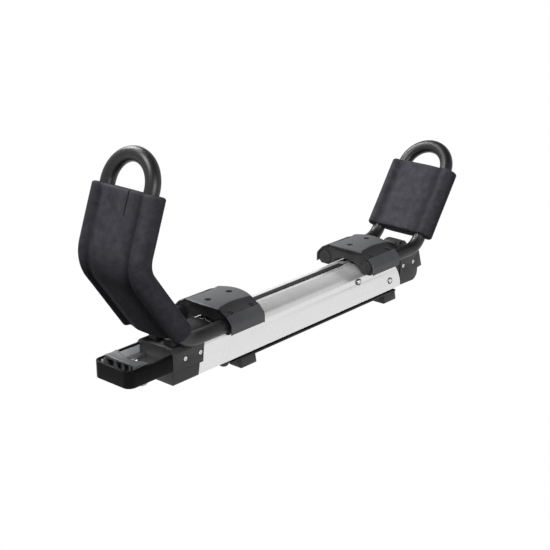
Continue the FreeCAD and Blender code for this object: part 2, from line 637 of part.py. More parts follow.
def fillet_corner(before, corner, after, radius):
    """Entry, middle and exit of the arc that rounds a corner."""
    u, v = unit(corner, before), unit(corner, after)
    half = math.acos(u[0] * v[0] + u[1] * v[1]) / 2
    reach = radius / math.tan(half)
    bisector = unit((0, 0), (u[0] + v[0], u[1] + v[1]))
    to_arc = radius / math.sin(half) - radius
    return (
        (corner[0] + u[0] * reach, corner[1] + u[1] * reach),
        (corner[0] + bisector[0] * to_arc, corner[1] + bisector[1] * to_arc),
        (corner[0] + v[0] * reach, corner[1] + v[1] * reach),
    )


def route_edges(corners, radii):
    """The lines and arcs of a tube leg's centre line in the XZ plane, from its corners and bends."""
    edges = []
    start = corners[0]
    for index, radius in enumerate(radii, start=1):
        entry, turn, leave = fillet_corner(corners[index - 1], corners[index], corners[index + 1], radius)
        edges.append((start, None, entry))
        edges.append((entry, turn, leave))
        start = leave
    edges.append((start, None, corners[-1]))
    return edges


def leg_edges(edges, y):
    """Lines and arcs in space for a leg at a distance from the centre line."""
    def place(p):
        return Vector(p[0], y, p[1])
    out = []
    for start, turn, end in edges:
        if turn:
            out.append(Part.Arc(place(start), place(turn), place(end)).toShape())
        else:
            out.append(Part.makeLine(place(start), place(end)))
    return out


def outer_corners():
    elbow = (d.outer_elbow_along, d.tube_height)
    leg = math.radians(180.0 - d.outer_leg_angle)
    rise = d.outer_knee_height - d.tube_height
    knee = (elbow[0] + rise / math.tan(leg), d.outer_knee_height)
    top = math.radians(d.outer_top_angle)
    loop = d.outer_loop_height - d.tube_half_spacing * math.sin(top)
    return elbow, knee, (knee[0] + (loop - knee[1]) / math.tan(top), loop), (math.cos(top), math.sin(top))


def inner_corners():
    elbow = (d.inner_elbow_along, d.tube_height)
    leg = math.radians(d.inner_leg_angle)
    loop = d.inner_loop_height - d.tube_half_spacing * math.sin(leg)
    return elbow, None, (elbow[0] + (loop - elbow[1]) / math.tan(leg), loop), (math.cos(leg), math.sin(leg))


def sweep(edges, profile):
    path = Part.Wire(edges)
    return path.makePipeShell([profile], True, False)


def leg_tube(edges, y, radius):
    """A round solid along one leg."""
    first = edges[0]
    direction = Vector(first[2][0] - first[0][0], 0, first[2][1] - first[0][1])
    ring = Part.Wire(Part.makeCircle(radius, Vector(first[0][0], y, first[0][1]), direction))
    return sweep(leg_edges(edges, y), ring)


def loop_tube(loop_start, heading, radius):
    """Half a torus over the top, between the two legs."""
    start = Vector(loop_start[0], -d.tube_half_spacing, loop_start[1])
    ring = Part.Face(Part.Wire(Part.makeCircle(radius, start, Vector(heading[0], 0, heading[1]))))
    normal = Vector(heading[1], 0, -heading[0])
    bow = ring.revolve(Vector(loop_start[0], 0, loop_start[1]), normal, 180)
    if bow.BoundBox.ZMax < loop_start[1] + radius + 1.0:
        bow = ring.revolve(Vector(loop_start[0], 0, loop_start[1]), normal, -180)
    return bow


def whole_tube(edges, loop_start, heading, radius):
    shape = loop_tube(loop_start, heading, radius)
    for y in (-d.tube_half_spacing, d.tube_half_spacing):
        shape = shape.fuse(leg_tube(edges, y, radius))
    return shape.removeSplitter()


def ease(place, start, end):
    """A curve that leaves one place and reaches the other along the pad's width."""
    reach = (end[0] - start[0]) / 2
    curve = Part.BezierCurve()
    leave, arrive = place(start[0] + reach, start[1]), place(end[0] - reach, end[1])
    curve.setPoles([place(*start), leave, arrive, place(*end)])
    return curve.toShape()


def pad_section(start, heading):
    """The pad's section across its route: a round roll over each tube, and a thinner web between them."""
    across = Vector(-heading[1], 0, heading[0])
    centre = Vector(start[0], 0, start[1])
    roll = d.pad_half_thickness
    roll_y = d.pad_half_width - roll
    web_t = d.pad_web_half_thickness

    def place(y, t):
        return centre + Vector(0, y, 0) + across * t
    edges = []
    for side in (1.0, -1.0):
        web_y = side * d.pad_web_half
        edges += [
            Part.makeLine(place(-web_y, side * web_t), place(web_y, side * web_t)),
            ease(place, (web_y, side * web_t), (side * roll_y, side * roll)),
            Part.Arc(place(side * roll_y, side * roll), place(side * d.pad_half_width, 0),
                     place(side * roll_y, -side * roll)).toShape(),
            ease(place, (side * roll_y, -side * roll), (web_y, -side * web_t)),
        ]
    return Part.Wire(edges)


def pad_route(edges, low_gap, top_height):
    """The part of the leg route that the pad covers, from just past the first bend to its top."""
    start, turn, leave = edges[1]
    heading = unit(edges[2][0], edges[2][2])
    first = (leave[0] + heading[0] * low_gap, leave[1] + heading[1] * low_gap)
    covered = [(first, None, edges[2][2])] + list(edges[3:])
    last_start, last_turn, last_end = covered[-1]
    way = unit(last_start, last_end)
    reach = (top_height - last_start[1]) / way[1]
    covered[-1] = (last_start, None, (last_start[0] + way[0] * reach, top_height))
    return covered


CRADLES = {"outer": (outer_corners(), d.outer_pad_top), "inner": (inner_corners(), d.inner_pad_top)}
for name, sign, centre in HUBS:
    (elbow, knee, loop_start, heading), pad_top = CRADLES[name]
    tube_end_x = centre - sign * d.tube_end_reach
    points = [(tube_end_x, d.tube_height), elbow] + ([knee] if knee else []) + [loop_start]
    radii = [d.tube_bend] + ([d.pad_bend] if knee else [])
    route = route_edges(points, radii)
    outside = whole_tube(route, loop_start, heading, d.tube_radius)
    inside = whole_tube(route, loop_start, heading, d.tube_radius - d.tube_wall)
    plain_feature(f"{name}_cradle_tube", outside.cut(inside))

    covered = pad_route(route, d.pad_foot_gap, pad_top)
    section = pad_section(covered[0][0], unit(covered[0][0], covered[0][2]))
    foam = sweep(leg_edges(covered, 0.0), section)
    for y in (-d.tube_half_spacing, d.tube_half_spacing):
        foam = foam.cut(leg_tube(route, y, d.tube_radius + d.pad_bore_gap))
    foam = foam.cut(loop_tube(loop_start, heading, d.tube_radius + d.pad_bore_gap))
    plain_feature(f"{name}_pad", foam)

    plugs = []
    for y in (-d.tube_half_spacing, d.tube_half_spacing):
        end = Vector(tube_end_x, y, d.tube_height)
        out = Vector(-sign, 0, 0)
        lid = Part.makeCylinder(d.tube_radius, d.plug_cap, end, out)
        face_x = end.x - sign * d.plug_cap
        rim = [e for e in lid.Edges if abs(e.CenterOfMass.x - face_x) < 0.01 and e.Closed]
        lid = lid.makeChamfer(1.0, rim)
        spigot = Part.makeCylinder(d.tube_radius - d.tube_wall, d.plug_spigot, end, out * -1)
        plugs.append(lid.fuse(spigot).removeSplitter())
    plain_feature(f"{name}_tube_plugs", Part.makeCompound(plugs))

# Outer end cap: a moulded block with a thicker chin, on the beam's slanted end
cap_front = d.cap_front
cap = new_body("outer_end_cap")
cap_section = [
    (d.cap_half - 2.0, d.chin_bottom),
    ((d.cap_half - 0.3, d.chin_bottom + 1.5), (d.cap_half, d.chin_bottom + 5.0)),
    (d.cap_half + 0.8, d.seam_height), (d.cap_half, d.seam_height + 0.8),
    (d.cap_half, d.cap_side_top), (d.cap_half - 6.0, d.cap_top),
]
add_pad(cap, "outer_cap_block", END, "Dims.cap_front", "80", closed_section(cap_section))
gap = d.cap_gap
add_pocket(cap, "outer_cap_edge", SIDE,
           [(x - gap, z) for x, z in end_edge]
           + [(cap_front + 90.0, d.beam_crest + 5.0), (cap_front + 90.0, d.chin_bottom - 2.0)])
cavity = d.cap_half - d.cap_wall
add_pocket(cap, "outer_cap_cavity", END, [
    (-cavity, d.chin_bottom + d.cap_wall), (cavity, d.chin_bottom + d.cap_wall),
    (cavity, d.cap_side_top - 2.0), (cavity - 6.0, d.cap_top - d.cap_wall),
    (-cavity + 6.0, d.cap_top - d.cap_wall), (-cavity, d.cap_side_top - 2.0),
], offset="Dims.cap_front + Dims.cap_wall + 4", length="100", flip=True)
add_pad(cap, "outer_cap_platform", FLAT, "Dims.cap_top - 1", "Dims.block_top - Dims.cap_top + 1", [
    (d.block_start, -d.block_half + 4.0), (d.block_start + 4.0, -d.block_half),
    (d.block_end - 6.0, -d.block_half), (d.block_end, -d.block_half + 6.0),
    (d.block_end, d.block_half - 6.0), (d.block_end - 6.0, d.block_half),
    (d.block_start + 4.0, d.block_half), (d.block_start, d.block_half - 4.0),
    (d.block_start, d.block_notch), (d.block_start + 14.0, d.block_notch),
    (d.block_start + 14.0, -d.block_notch), (d.block_start, -d.block_notch),
])

# Inner end cap: closes the scooped end, with a tab that overhangs outwards
inner_cap = new_body("inner_end_cap")
tab = d.inner_cap_tab
add_pad(inner_cap, "inner_cap_block", SIDE, "0", "2 * (Dims.cap_half - 1)", [
    (d.inner_cap_start, d.beam_bottom + 1.0), (tab - 31.0, d.beam_bottom),
    ((tab - 20.0, d.beam_bottom + 4.5), (tab - 14.5, d.beam_bottom + 16.0)),
    (tab - 14.0, d.seam_height + 1.5), (tab, d.seam_height + 3.0), (tab - 10.5, d.cap_side_top + 5.0),
    (d.inner_cap_start, d.cap_side_top + 5.0),
], side="Symmetric")
inner_cavity = cavity - 1.0
hollow_start = d.inner_cap_start + d.cap_wall
hollow_end = tab - 38.0
add_pocket(inner_cap, "inner_cap_hollow", FLAT, [
    (hollow_start, -inner_cavity), (hollow_end, -inner_cavity),
    (hollow_end, inner_cavity), (hollow_start, inner_cavity),
], offset="Dims.beam_bottom - 1", length="Dims.cap_side_top - Dims.beam_bottom - 3", flip=True)
plug_half = d.beam_half - d.beam_wall - d.plug_inset
plug_inner = plug_half - d.cap_wall
plug_section = open_section(
    [(plug_half, d.plug_bottom), (plug_half, d.plug_top)],
    [(plug_inner, d.plug_bottom), (plug_inner, d.plug_top - d.cap_wall)])
add_pad(inner_cap, "inner_cap_plug", END, "Dims.inner_cap_start - Dims.plug_reach",
        "Dims.plug_reach + 1", plug_section)

# Tie-down cleat on the inner cap: a hook facing out over a rounded hump
cleat_base = d.cap_side_top + 5.0
cleat = new_body("strap_cleat")
add_pad(cleat, "cleat_hook", SIDE, "0", "2 * Dims.cleat_half", [
    (d.cleat_start + 8.0, cleat_base), (d.cleat_start + 4.0, d.cleat_top - 8.0),
    (d.cleat_start - 2.0, d.cleat_top - 3.0),
    ((d.cleat_start + 8.0, d.cleat_top), (d.cleat_start + 24.0, d.cleat_top - 2.0)),
    (d.cleat_start + 25.0, d.cleat_top - 4.5), (d.cleat_start + 17.0, d.cleat_top - 7.0),
    ((d.cleat_start + 19.0, d.cleat_top - 10.5), (d.cleat_start + 24.0, d.cleat_top - 11.0)),
    ((d.cleat_start + 31.0, d.cleat_top - 6.5), (d.cleat_start + 40.0, d.cleat_top - 10.0)),
    (d.cleat_start + 47.0, d.cleat_top - 17.0), (d.cleat_start + 45.5, cleat_base),
], side="Symmetric")

# Side screws of both caps, sunk in round recesses
screw_z = d.screw_height
for name, body, places in (
    ("outer", cap, (cap_front + 28.2, cap_front + 63.6)),
    ("inner", inner_cap, (d.inner_cap_start + 8.2, d.inner_cap_start + 41.7)),
):
    face = d.cap_half - (0.0 if name == "outer" else 1.0)
    screws = []
    for index, x in enumerate(places):
        for sign, side in ((-1.0, "near"), (1.0, "far")):
            if sign < 0:
                offset, flip = f"{face - d.screw_sink}", True
            else:
                offset, flip = f"{-face + d.screw_sink}", False
            add_pocket(body, f"{name}_{side}_recess_{index + 1}", SIDE,
                       circle=((x, screw_z), "Dims.screw_recess"), offset=offset, length="10", flip=flip)
            floor_y = face - d.screw_sink
            head = rod_across(x, screw_z, d.screw_head, floor_y, face + 0.4)
            head = head.cut(rod_across(x, screw_z, d.screw_head * 0.4, floor_y + 0.9, face + 0.5))
            if sign < 0:
                head = head.mirror(Vector(0, 0, 0), Vector(0, 1, 0))
            screws.append(head)
    plain_feature(f"{name}_cap_screws", Part.makeCompound(screws))

# Grab handle: a moulded U with an aluminium strap inside it
front = d.handle_front
corner = d.handle_corner
half = d.cap_half
thick = d.handle_wall
outer_dip = corner * (1 - math.sqrt(0.5))
inner_corner = corner - thick
inner_dip = inner_corner * (1 - math.sqrt(0.5))
inside = half - thick
handle = new_body("grab_handle")
add_pad(handle, "handle_bow", FLAT, "Dims.handle_bottom", "Dims.handle_top - Dims.handle_bottom", [
    (cap_front, -half), (front + corner, -half),
    ((front + outer_dip, -half + outer_dip), (front, -half + corner)), (front, half - corner),
    ((front + outer_dip, half - outer_dip), (front + corner, half)), (cap_front, half),
    (cap_front, inside), (front + corner, inside),
    ((front + thick + inner_dip, inside - inner_dip), (front + thick, inside - inner_corner)),
    (front + thick, -inside + inner_corner),
    ((front + thick + inner_dip, -inside + inner_dip), (front + corner, -inside)), (cap_front, -inside),
])
strap_in = inside - d.strap_wall
strap_low = d.handle_bottom + 3.0
strap = Part.makeBox(cap_front - front - corner, d.strap_wall, d.handle_top - 3.0 - strap_low,
                     Vector(front + corner, strap_in, strap_low))
lobe_arc = Part.Arc(
    Vector(d.strap_lobe_along - d.strap_lobe_half, strap_in, strap_low + 1.0),
    Vector(d.strap_lobe_along, strap_in, d.strap_lobe_bottom),
    Vector(d.strap_lobe_along + d.strap_lobe_half, strap_in, strap_low + 1.0))
lobe_rim = Part.Wire([lobe_arc.toShape(), Part.makeLine(lobe_arc.EndPoint, lobe_arc.StartPoint)])
strap = strap.fuse(Part.Face(lobe_rim).extrude(Vector(0, d.strap_wall, 0))).removeSplitter()
plain_feature("handle_strap", Part.makeCompound(both_sides(strap)))

# Release lever between the handle's arms, scooped for the fingers
lever_front = front + thick + d.lever_front_gap
lever_half = strap_in - 1.0
lever_back = lever_front + d.lever_depth
lever = new_body("release_lever")
nose = d.lever_corner
nose_dip = nose * (1 - math.sqrt(0.5))
add_pad(lever, "lever_block", FLAT, "Dims.handle_bottom + 6", "Dims.lever_top - Dims.handle_bottom - 6", [
    (lever_front, -lever_half + nose),
    ((lever_front + nose_dip, -lever_half + nose_dip), (lever_front + nose, -lever_half)),
    (lever_back, -lever_half), ((lever_back - d.lever_scoop, 0.0), (lever_back, lever_half)),
    (lever_front + nose, lever_half),
    ((lever_front + nose_dip, lever_half - nose_dip), (lever_front, lever_half - nose)),
])
add_pocket(lever, "lever_saddle", END, [
    (-lever_half, d.lever_top), ((0.0, d.lever_top - d.lever_dip), (lever_half, d.lever_top)),
    (lever_half, d.lever_top + 1.0), (-lever_half, d.lever_top + 1.0),
])
pocket_top = d.lever_top - d.lever_dip - 3.5
for index in range(3):
    low_y = -lever_half + nose + index * (2 * lever_half - nose) / 3
    high_y = low_y + (2 * lever_half - 4 * nose) / 3
    add_pocket(lever, f"lever_pocket_{index + 1}", SIDE, [
        (lever_front - 1.0, d.handle_bottom + 9.0), (lever_front + 8.0, d.handle_bottom + 9.0),
        (lever_front + 8.0, pocket_top), (lever_front - 1.0, pocket_top),
    ], offset=f"{-high_y}", length=f"{high_y - low_y}", flip=True)
rod_places = [(d.pull_rod_half_spacing * sign, d.screw_height) for sign in (-1.0, 1.0)]
rod_start = lever_back - d.lever_scoop
rod_length = cap_front + 30.0 - rod_start
rods = [Part.makeCylinder(d.pull_rod_radius, rod_length, Vector(rod_start, y, z), Vector(1, 0, 0))
        for y, z in rod_places]
for index, place in enumerate(rod_places):
    add_pocket(lever, f"pull_rod_socket_{index + 1}", END, circle=(place, "Dims.pull_rod_radius"),
               offset=f"{rod_start}", length="Dims.lever_scoop + 1", flip=True)
    add_pocket(cap, f"pull_rod_hole_{index + 1}", END,
               circle=(place, "Dims.pull_rod_radius + Dims.pivot_fit"),
               offset="Dims.cap_front - 1", length="20", flip=True)
plain_feature("pull_rods", Part.makeCompound(rods))

doc.recompute()
for item in doc.Objects:
    if "Invalid" in item.State or "Error" in item.State:
        raise RuntimeError(f"{item.Label} did not build")
for piece in pieces:
    if piece.Shape.isNull() or not piece.Shape.isValid():
        raise RuntimeError(f"{piece.Label} has no sound shape")

os.makedirs("parts", exist_ok=True)
for piece in pieces:
    piece.Shape.exportStep(f"parts/{piece.Label}.step")
    print(piece.Label, round(piece.Shape.Volume), len(piece.Shape.Solids))
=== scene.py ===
# %% [markdown]
# # Dressing a lift-assist kayak rack
# The rack is a silver extruded beam that carries two padded cradles. The CAD model already holds every piece at
# its true size, so this lesson starts by loading it.

# %% Load the imported model
import json
import math

import bmesh
import bpy
from mathutils import Matrix, Vector


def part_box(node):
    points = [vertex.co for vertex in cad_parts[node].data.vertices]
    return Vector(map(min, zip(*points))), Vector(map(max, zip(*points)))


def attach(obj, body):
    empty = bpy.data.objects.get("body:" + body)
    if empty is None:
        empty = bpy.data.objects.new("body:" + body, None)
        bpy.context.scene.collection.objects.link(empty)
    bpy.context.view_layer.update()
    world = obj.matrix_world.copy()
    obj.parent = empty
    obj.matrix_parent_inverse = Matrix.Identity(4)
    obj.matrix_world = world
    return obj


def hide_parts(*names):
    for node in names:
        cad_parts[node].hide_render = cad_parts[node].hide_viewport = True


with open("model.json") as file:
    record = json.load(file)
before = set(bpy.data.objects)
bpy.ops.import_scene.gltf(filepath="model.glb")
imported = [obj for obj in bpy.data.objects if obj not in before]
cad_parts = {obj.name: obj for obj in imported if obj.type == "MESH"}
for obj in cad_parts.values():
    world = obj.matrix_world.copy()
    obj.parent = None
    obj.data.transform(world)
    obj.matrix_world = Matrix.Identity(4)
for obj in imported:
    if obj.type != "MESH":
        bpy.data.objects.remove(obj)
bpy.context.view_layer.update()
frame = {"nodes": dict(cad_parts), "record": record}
nodes = frame["nodes"]
scene = bpy.context.scene
scene.view_settings.view_transform = "Standard"
print("loaded", len(nodes), "nodes")

# %% [markdown]
# A CAD mesh arrives as loose triangles. Its vertices must stay as they are, so
# modifiers do the work: Weld joins the triangles, and Bevel then rounds the
# sharp edges a little, as a mould or a saw leaves them. Real edges catch a thin
# line of light, and without it a render looks like a drawing.

# %% Soft edges for the CAD nodes
WELD_REACH = 0.00001
FLAT_ANGLE = 1.0
SHARP_ANGLE = 32.0


def soften(node, width, flatten):
    """Rounds a CAD node's sharp edges with live modifiers, and joins its flat faces first if asked."""
    piece = nodes[node]
    weld = piece.modifiers.new("Join triangles", "WELD")
    weld.merge_threshold = WELD_REACH
    if flatten:
        join = piece.modifiers.new("Join flat faces", "DECIMATE")
        join.decimate_type = "DISSOLVE"
        join.angle_limit = math.radians(FLAT_ANGLE)
    bevel = piece.modifiers.new("Round edges", "BEVEL")
    bevel.width = width
    bevel.segments = 3
    bevel.limit_method = "ANGLE"
    bevel.angle_limit = math.radians(SHARP_ANGLE)
    bevel.harden_normals = True
    piece.data.shade_smooth()


# %% [markdown]
# Several finishes share the same two effects: a fine moulded grain, and slow
# patches where the colour drifts. Each is a shader node group, built once, so
# every material can place it with its own scale and strength. Two small
# functions make such a group and the sums inside it.

# %% Helpers for node groups
FLOAT = "NodeSocketFloat"
COLOUR = "NodeSocketColor"


def group_with(name, inputs, outputs):
    """A shader node group with named sockets, and its inner ends."""
    tree = bpy.data.node_groups.new(name, "ShaderNodeTree")
    for label, kind, value in inputs:
        socket = tree.interface.new_socket(label, in_out="INPUT", socket_type=kind)
        socket.default_value = value
    for label, kind in outputs:
        tree.interface.new_socket(label, in_out="OUTPUT", socket_type=kind)
    return tree, tree.nodes.new("NodeGroupInput"), tree.nodes.new("NodeGroupOutput")


def worked_out(tree, operation, *sources):
    """The result of one Math node, whose sources are plain numbers or other nodes' outputs."""
    node = tree.nodes.new("ShaderNodeMath")
    node.operation = operation
    for slot, source in zip(node.inputs, sources):
        if isinstance(source, float):
            slot.default_value = source
        else:
            tree.links.new(source, slot)
    return node.outputs["Value"]


# %% Group for fine surface grain
grain, grain_in, grain_out = group_with(
    "Fine grain", [("Scale", FLOAT, 900.0), ("Detail", FLOAT, 3.0)], [("Height", FLOAT)])
grain_place = grain.nodes.new("ShaderNodeTexCoord")
grain_noise = grain.nodes.new("ShaderNodeTexNoise")
grain.links.new(grain_place.outputs["Object"], grain_noise.inputs["Vector"])
grain.links.new(grain_in.outputs["Scale"], grain_noise.inputs["Scale"])
grain.links.new(grain_in.outputs["Detail"], grain_noise.inputs["Detail"])
grain.links.new(grain_noise.outputs["Fac"], grain_out.inputs["Height"])
print("groups", len(bpy.data.node_groups))

# %% Group for slow drifts of colour
drift, drift_in, drift_out = group_with(
    "Colour drift",
    [("Colour", COLOUR, (0.5, 0.5, 0.5, 1.0)), ("Spread", FLOAT, 0.1), ("Scale", FLOAT, 20.0)],
    [("Colour", COLOUR), ("Mask", FLOAT)])
drift_place = drift.nodes.new("ShaderNodeTexCoord")
drift_noise = drift.nodes.new("ShaderNodeTexNoise")
drift_noise.inputs["Detail"].default_value = 6.0
drift_noise.inputs["Roughness"].default_value = 0.6
drift_level = drift.nodes.new("ShaderNodeMapRange")
drift_level.inputs["From Min"].default_value = 0.3
drift_level.inputs["From Max"].default_value = 0.7
drift_low = worked_out(drift, "SUBTRACT", 1.0, drift_in.outputs["Spread"])
drift_high = worked_out(drift, "ADD", 1.0, drift_in.outputs["Spread"])
drift_tint = drift.nodes.new("ShaderNodeVectorMath")
drift_tint.operation = "SCALE"
drift.links.new(drift_place.outputs["Object"], drift_noise.inputs["Vector"])
drift.links.new(drift_in.outputs["Scale"], drift_noise.inputs["Scale"])
drift.links.new(drift_noise.outputs["Fac"], drift_level.inputs["Value"])
drift.links.new(drift_low, drift_level.inputs["To Min"])
drift.links.new(drift_high, drift_level.inputs["To Max"])
drift.links.new(drift_in.outputs["Colour"], drift_tint.inputs[0])
drift.links.new(drift_level.outputs["Result"], drift_tint.inputs["Scale"])
drift.links.new(drift_tint.outputs["Vector"], drift_out.inputs["Colour"])
drift.links.new(drift_noise.outputs["Fac"], drift_out.inputs["Mask"])

# %% [markdown]
# Extruded aluminium keeps faint lines from its die, all along its length. The
# same noise does that when its place is squeezed along X. Foam skin is the
# opposite: small rounded cells, which a Voronoi pattern gives.

# %% Groups for drawn lines and for foam cells
drawn, drawn_in, drawn_out = group_with(
    "Drawn lines", [("Scale", FLOAT, 700.0), ("Stretch", FLOAT, 0.012)], [("Height", FLOAT)])
drawn_place = drawn.nodes.new("ShaderNodeTexCoord")
drawn_squeeze = drawn.nodes.new("ShaderNodeVectorMath")
drawn_squeeze.operation = "MULTIPLY"
drawn_axes = drawn.nodes.new("ShaderNodeCombineXYZ")
drawn_axes.inputs["Y"].default_value = 1.0
drawn_axes.inputs["Z"].default_value = 1.0
drawn_noise = drawn.nodes.new("ShaderNodeTexNoise")
drawn_noise.inputs["Detail"].default_value = 4.0
drawn.links.new(drawn_in.outputs["Stretch"], drawn_axes.inputs["X"])
drawn.links.new(drawn_place.outputs["Object"], drawn_squeeze.inputs[0])
drawn.links.new(drawn_axes.outputs["Vector"], drawn_squeeze.inputs[1])
drawn.links.new(drawn_squeeze.outputs["Vector"], drawn_noise.inputs["Vector"])
drawn.links.new(drawn_in.outputs["Scale"], drawn_noise.inputs["Scale"])
drawn.links.new(drawn_noise.outputs["Fac"], drawn_out.inputs["Height"])

cells, cells_in, cells_out = group_with(
    "Foam cells", [("Scale", FLOAT, 260.0), ("Creases", FLOAT, 0.5)], [("Height", FLOAT)])
cells_place = cells.nodes.new("ShaderNodeTexCoord")
cells_dots = cells.nodes.new("ShaderNodeTexVoronoi")
cells_dots.feature = "SMOOTH_F1"
cells_wrinkle = cells.nodes.new("ShaderNodeTexNoise")
cells_wrinkle.inputs["Scale"].default_value = 55.0
cells_wrinkle.inputs["Detail"].default_value = 7.0
cells_wrinkle.inputs["Roughness"].default_value = 0.65
cells.links.new(cells_place.outputs["Object"], cells_dots.inputs["Vector"])
cells.links.new(cells_place.outputs["Object"], cells_wrinkle.inputs["Vector"])
cells.links.new(cells_in.outputs["Scale"], cells_dots.inputs["Scale"])
cells_height = worked_out(cells, "MULTIPLY_ADD", cells_wrinkle.outputs["Fac"],
                          cells_in.outputs["Creases"], cells_dots.outputs["Distance"])
cells.links.new(cells_height, cells_out.inputs["Height"])

# %% [markdown]
# Painted shade: the long valley beside each roll of a foam pad is darkened in the pads' colour. The next group
# gives 1 away from that line and less close to it, on both sides.

# %% Group for the painted shade in a pad's valleys
crease, crease_in, crease_out = group_with(
    "Crease shade", [("Centre", FLOAT, 0.048), ("Width", FLOAT, 0.010), ("Depth", FLOAT, 0.4)],
    [("Mask", FLOAT)])
crease_place = crease.nodes.new("ShaderNodeTexCoord")
crease_axes = crease.nodes.new("ShaderNodeSeparateXYZ")
crease.links.new(crease_place.outputs["Object"], crease_axes.inputs["Vector"])
aside = worked_out(crease, "ABSOLUTE", crease_axes.outputs["Y"])
aside = worked_out(crease, "SUBTRACT", aside, crease_in.outputs["Centre"])
aside = worked_out(crease, "DIVIDE", aside, crease_in.outputs["Width"])
aside = worked_out(crease, "MULTIPLY", aside, aside)
shade = worked_out(crease, "POWER", math.e, worked_out(crease, "MULTIPLY", aside, -1.0))
shade = worked_out(crease, "MULTIPLY", shade, crease_in.outputs["Depth"])
crease.links.new(worked_out(crease, "SUBTRACT", 1.0, shade), crease_out.inputs["Mask"])

# %% [markdown]
# Most pieces differ only in colour, gloss and how coarse their grain is. One
# function makes such a finish from the two groups, and the shader itself stays
# in the material, where its plain numbers can be read.

# %% A finish from a few plain numbers
def finish_of(name, colour, roughness, metallic=0.0, spread=0.12, patch=25.0,
              relief=(grain, 1400.0), bump=0.05, gloss_drift=0.06, specular=0.5):
    """A material with drifting colour and gloss over a fine relief."""
    material = bpy.data.materials.new(name)
    material.use_nodes = True
    tree = material.node_tree
    shader = tree.nodes["Principled BSDF"]
    shader.inputs["Metallic"].default_value = metallic
    shader.inputs["Specular IOR Level"].default_value = specular
    patches = tree.nodes.new("ShaderNodeGroup")
    patches.node_tree = drift
    patches.inputs["Colour"].default_value = (*colour, 1.0)
    patches.inputs["Spread"].default_value = spread
    patches.inputs["Scale"].default_value = patch
    tree.links.new(patches.outputs["Colour"], shader.inputs["Base Color"])
    gloss = tree.nodes.new("ShaderNodeMapRange")
    gloss.inputs["To Min"].default_value = roughness - gloss_drift
    gloss.inputs["To Max"].default_value = roughness + gloss_drift
    tree.links.new(patches.outputs["Mask"], gloss.inputs["Value"])
    tree.links.new(gloss.outputs["Result"], shader.inputs["Roughness"])
    fine = tree.nodes.new("ShaderNodeGroup")
    fine.node_tree, fine.inputs["Scale"].default_value = relief
    dents = tree.nodes.new("ShaderNodeBump")
    dents.inputs["Strength"].default_value = bump
    dents.inputs["Distance"].default_value = 0.0006
    tree.links.new(fine.outputs["Height"], dents.inputs["Height"])
    tree.links.new(dents.outputs["Normal"], shader.inputs["Normal"])
    return material


finishes = {
    "silver": finish_of("Silver anodised beam", (0.94, 0.94, 0.94), 0.28, metallic=0.65,
                        spread=0.02, relief=(drawn, 900.0), bump=0.05),
    "bare": finish_of("Bare aluminium strap", (0.55, 0.56, 0.57), 0.50, metallic=0.35, spread=0.05,
                      relief=(drawn, 700.0), bump=0.12),
    "steel": finish_of("Black powder coat", (0.010, 0.010, 0.011), 0.42, bump=0.14, specular=0.25),
    "tube": finish_of("Satin black tube", (0.010, 0.010, 0.0105), 0.40, bump=0.04, specular=0.5),
    "foam": finish_of("Dark foam skin", (0.064, 0.062, 0.073), 0.70, spread=0.25, patch=70.0,
                      relief=(cells, 330.0), bump=0.6, specular=0.03),
    "hub": finish_of("Grey moulded cover", (0.086, 0.088, 0.092), 0.42, bump=0.16, specular=0.5),
    # Painted shade: a darker copy of the grey cover finish, for the hub covers' facets
    "shaded_facet": finish_of("Coarse facet with painted shade", (0.026, 0.026, 0.028), 0.55, bump=0.35, specular=0.3),
    "cap": finish_of("Charcoal moulding", (0.052, 0.052, 0.055), 0.44, bump=0.16, specular=0.35),
    "gloss": finish_of("Glossy black moulding", (0.004, 0.004, 0.0045), 0.14, bump=0.02, specular=0.08),
    "lever": finish_of("Grey lever moulding", (0.130, 0.133, 0.138), 0.45, bump=0.16, specular=0.4),
    # Real black rubber for the bushings; painted shade in the foam slits and in the beam's slot
    "black_rubber_and_shade": finish_of("Black rubber and painted shade", (0.008, 0.008, 0.008), 0.60, bump=0.20, specular=0.3),
    "saddle": finish_of("Dark hub base", (0.040, 0.040, 0.042), 0.55, bump=0.25, specular=0.25),
    "plug": finish_of("Ribbed tube plug", (0.034, 0.034, 0.036), 0.55, relief=(cells, 420.0),
                      bump=0.6, specular=0.25),
    "dark_screw": finish_of("Blackened screws", (0.010, 0.010, 0.010), 0.38, bump=0.04, specular=0.3),
    "chrome": finish_of("Ground rod", (0.75, 0.75, 0.77), 0.15, metallic=1.0, spread=0.02, bump=0.01),
    "zinc": finish_of("Zinc plated screws", (0.62, 0.62, 0.62), 0.30, metallic=1.0, spread=0.1,
                      patch=200.0),
}

# The pads' colour also passes through the painted shade of their valleys
foam_tree = finishes["foam"].node_tree
foam_shader = foam_tree.nodes["Principled BSDF"]
foam_painted_shade = foam_tree.nodes.new("ShaderNodeGroup")
foam_painted_shade.node_tree = crease
foam_tint = foam_tree.nodes.new("ShaderNodeVectorMath")
foam_tint.operation = "SCALE"
foam_tree.links.new(foam_shader.inputs["Base Color"].links[0].from_socket, foam_tint.inputs[0])
foam_tree.links.new(foam_painted_shade.outputs["Mask"], foam_tint.inputs["Scale"])
foam_tree.links.new(foam_tint.outputs["Vector"], foam_shader.inputs["Base Color"])
print("finishes", sorted(finishes))

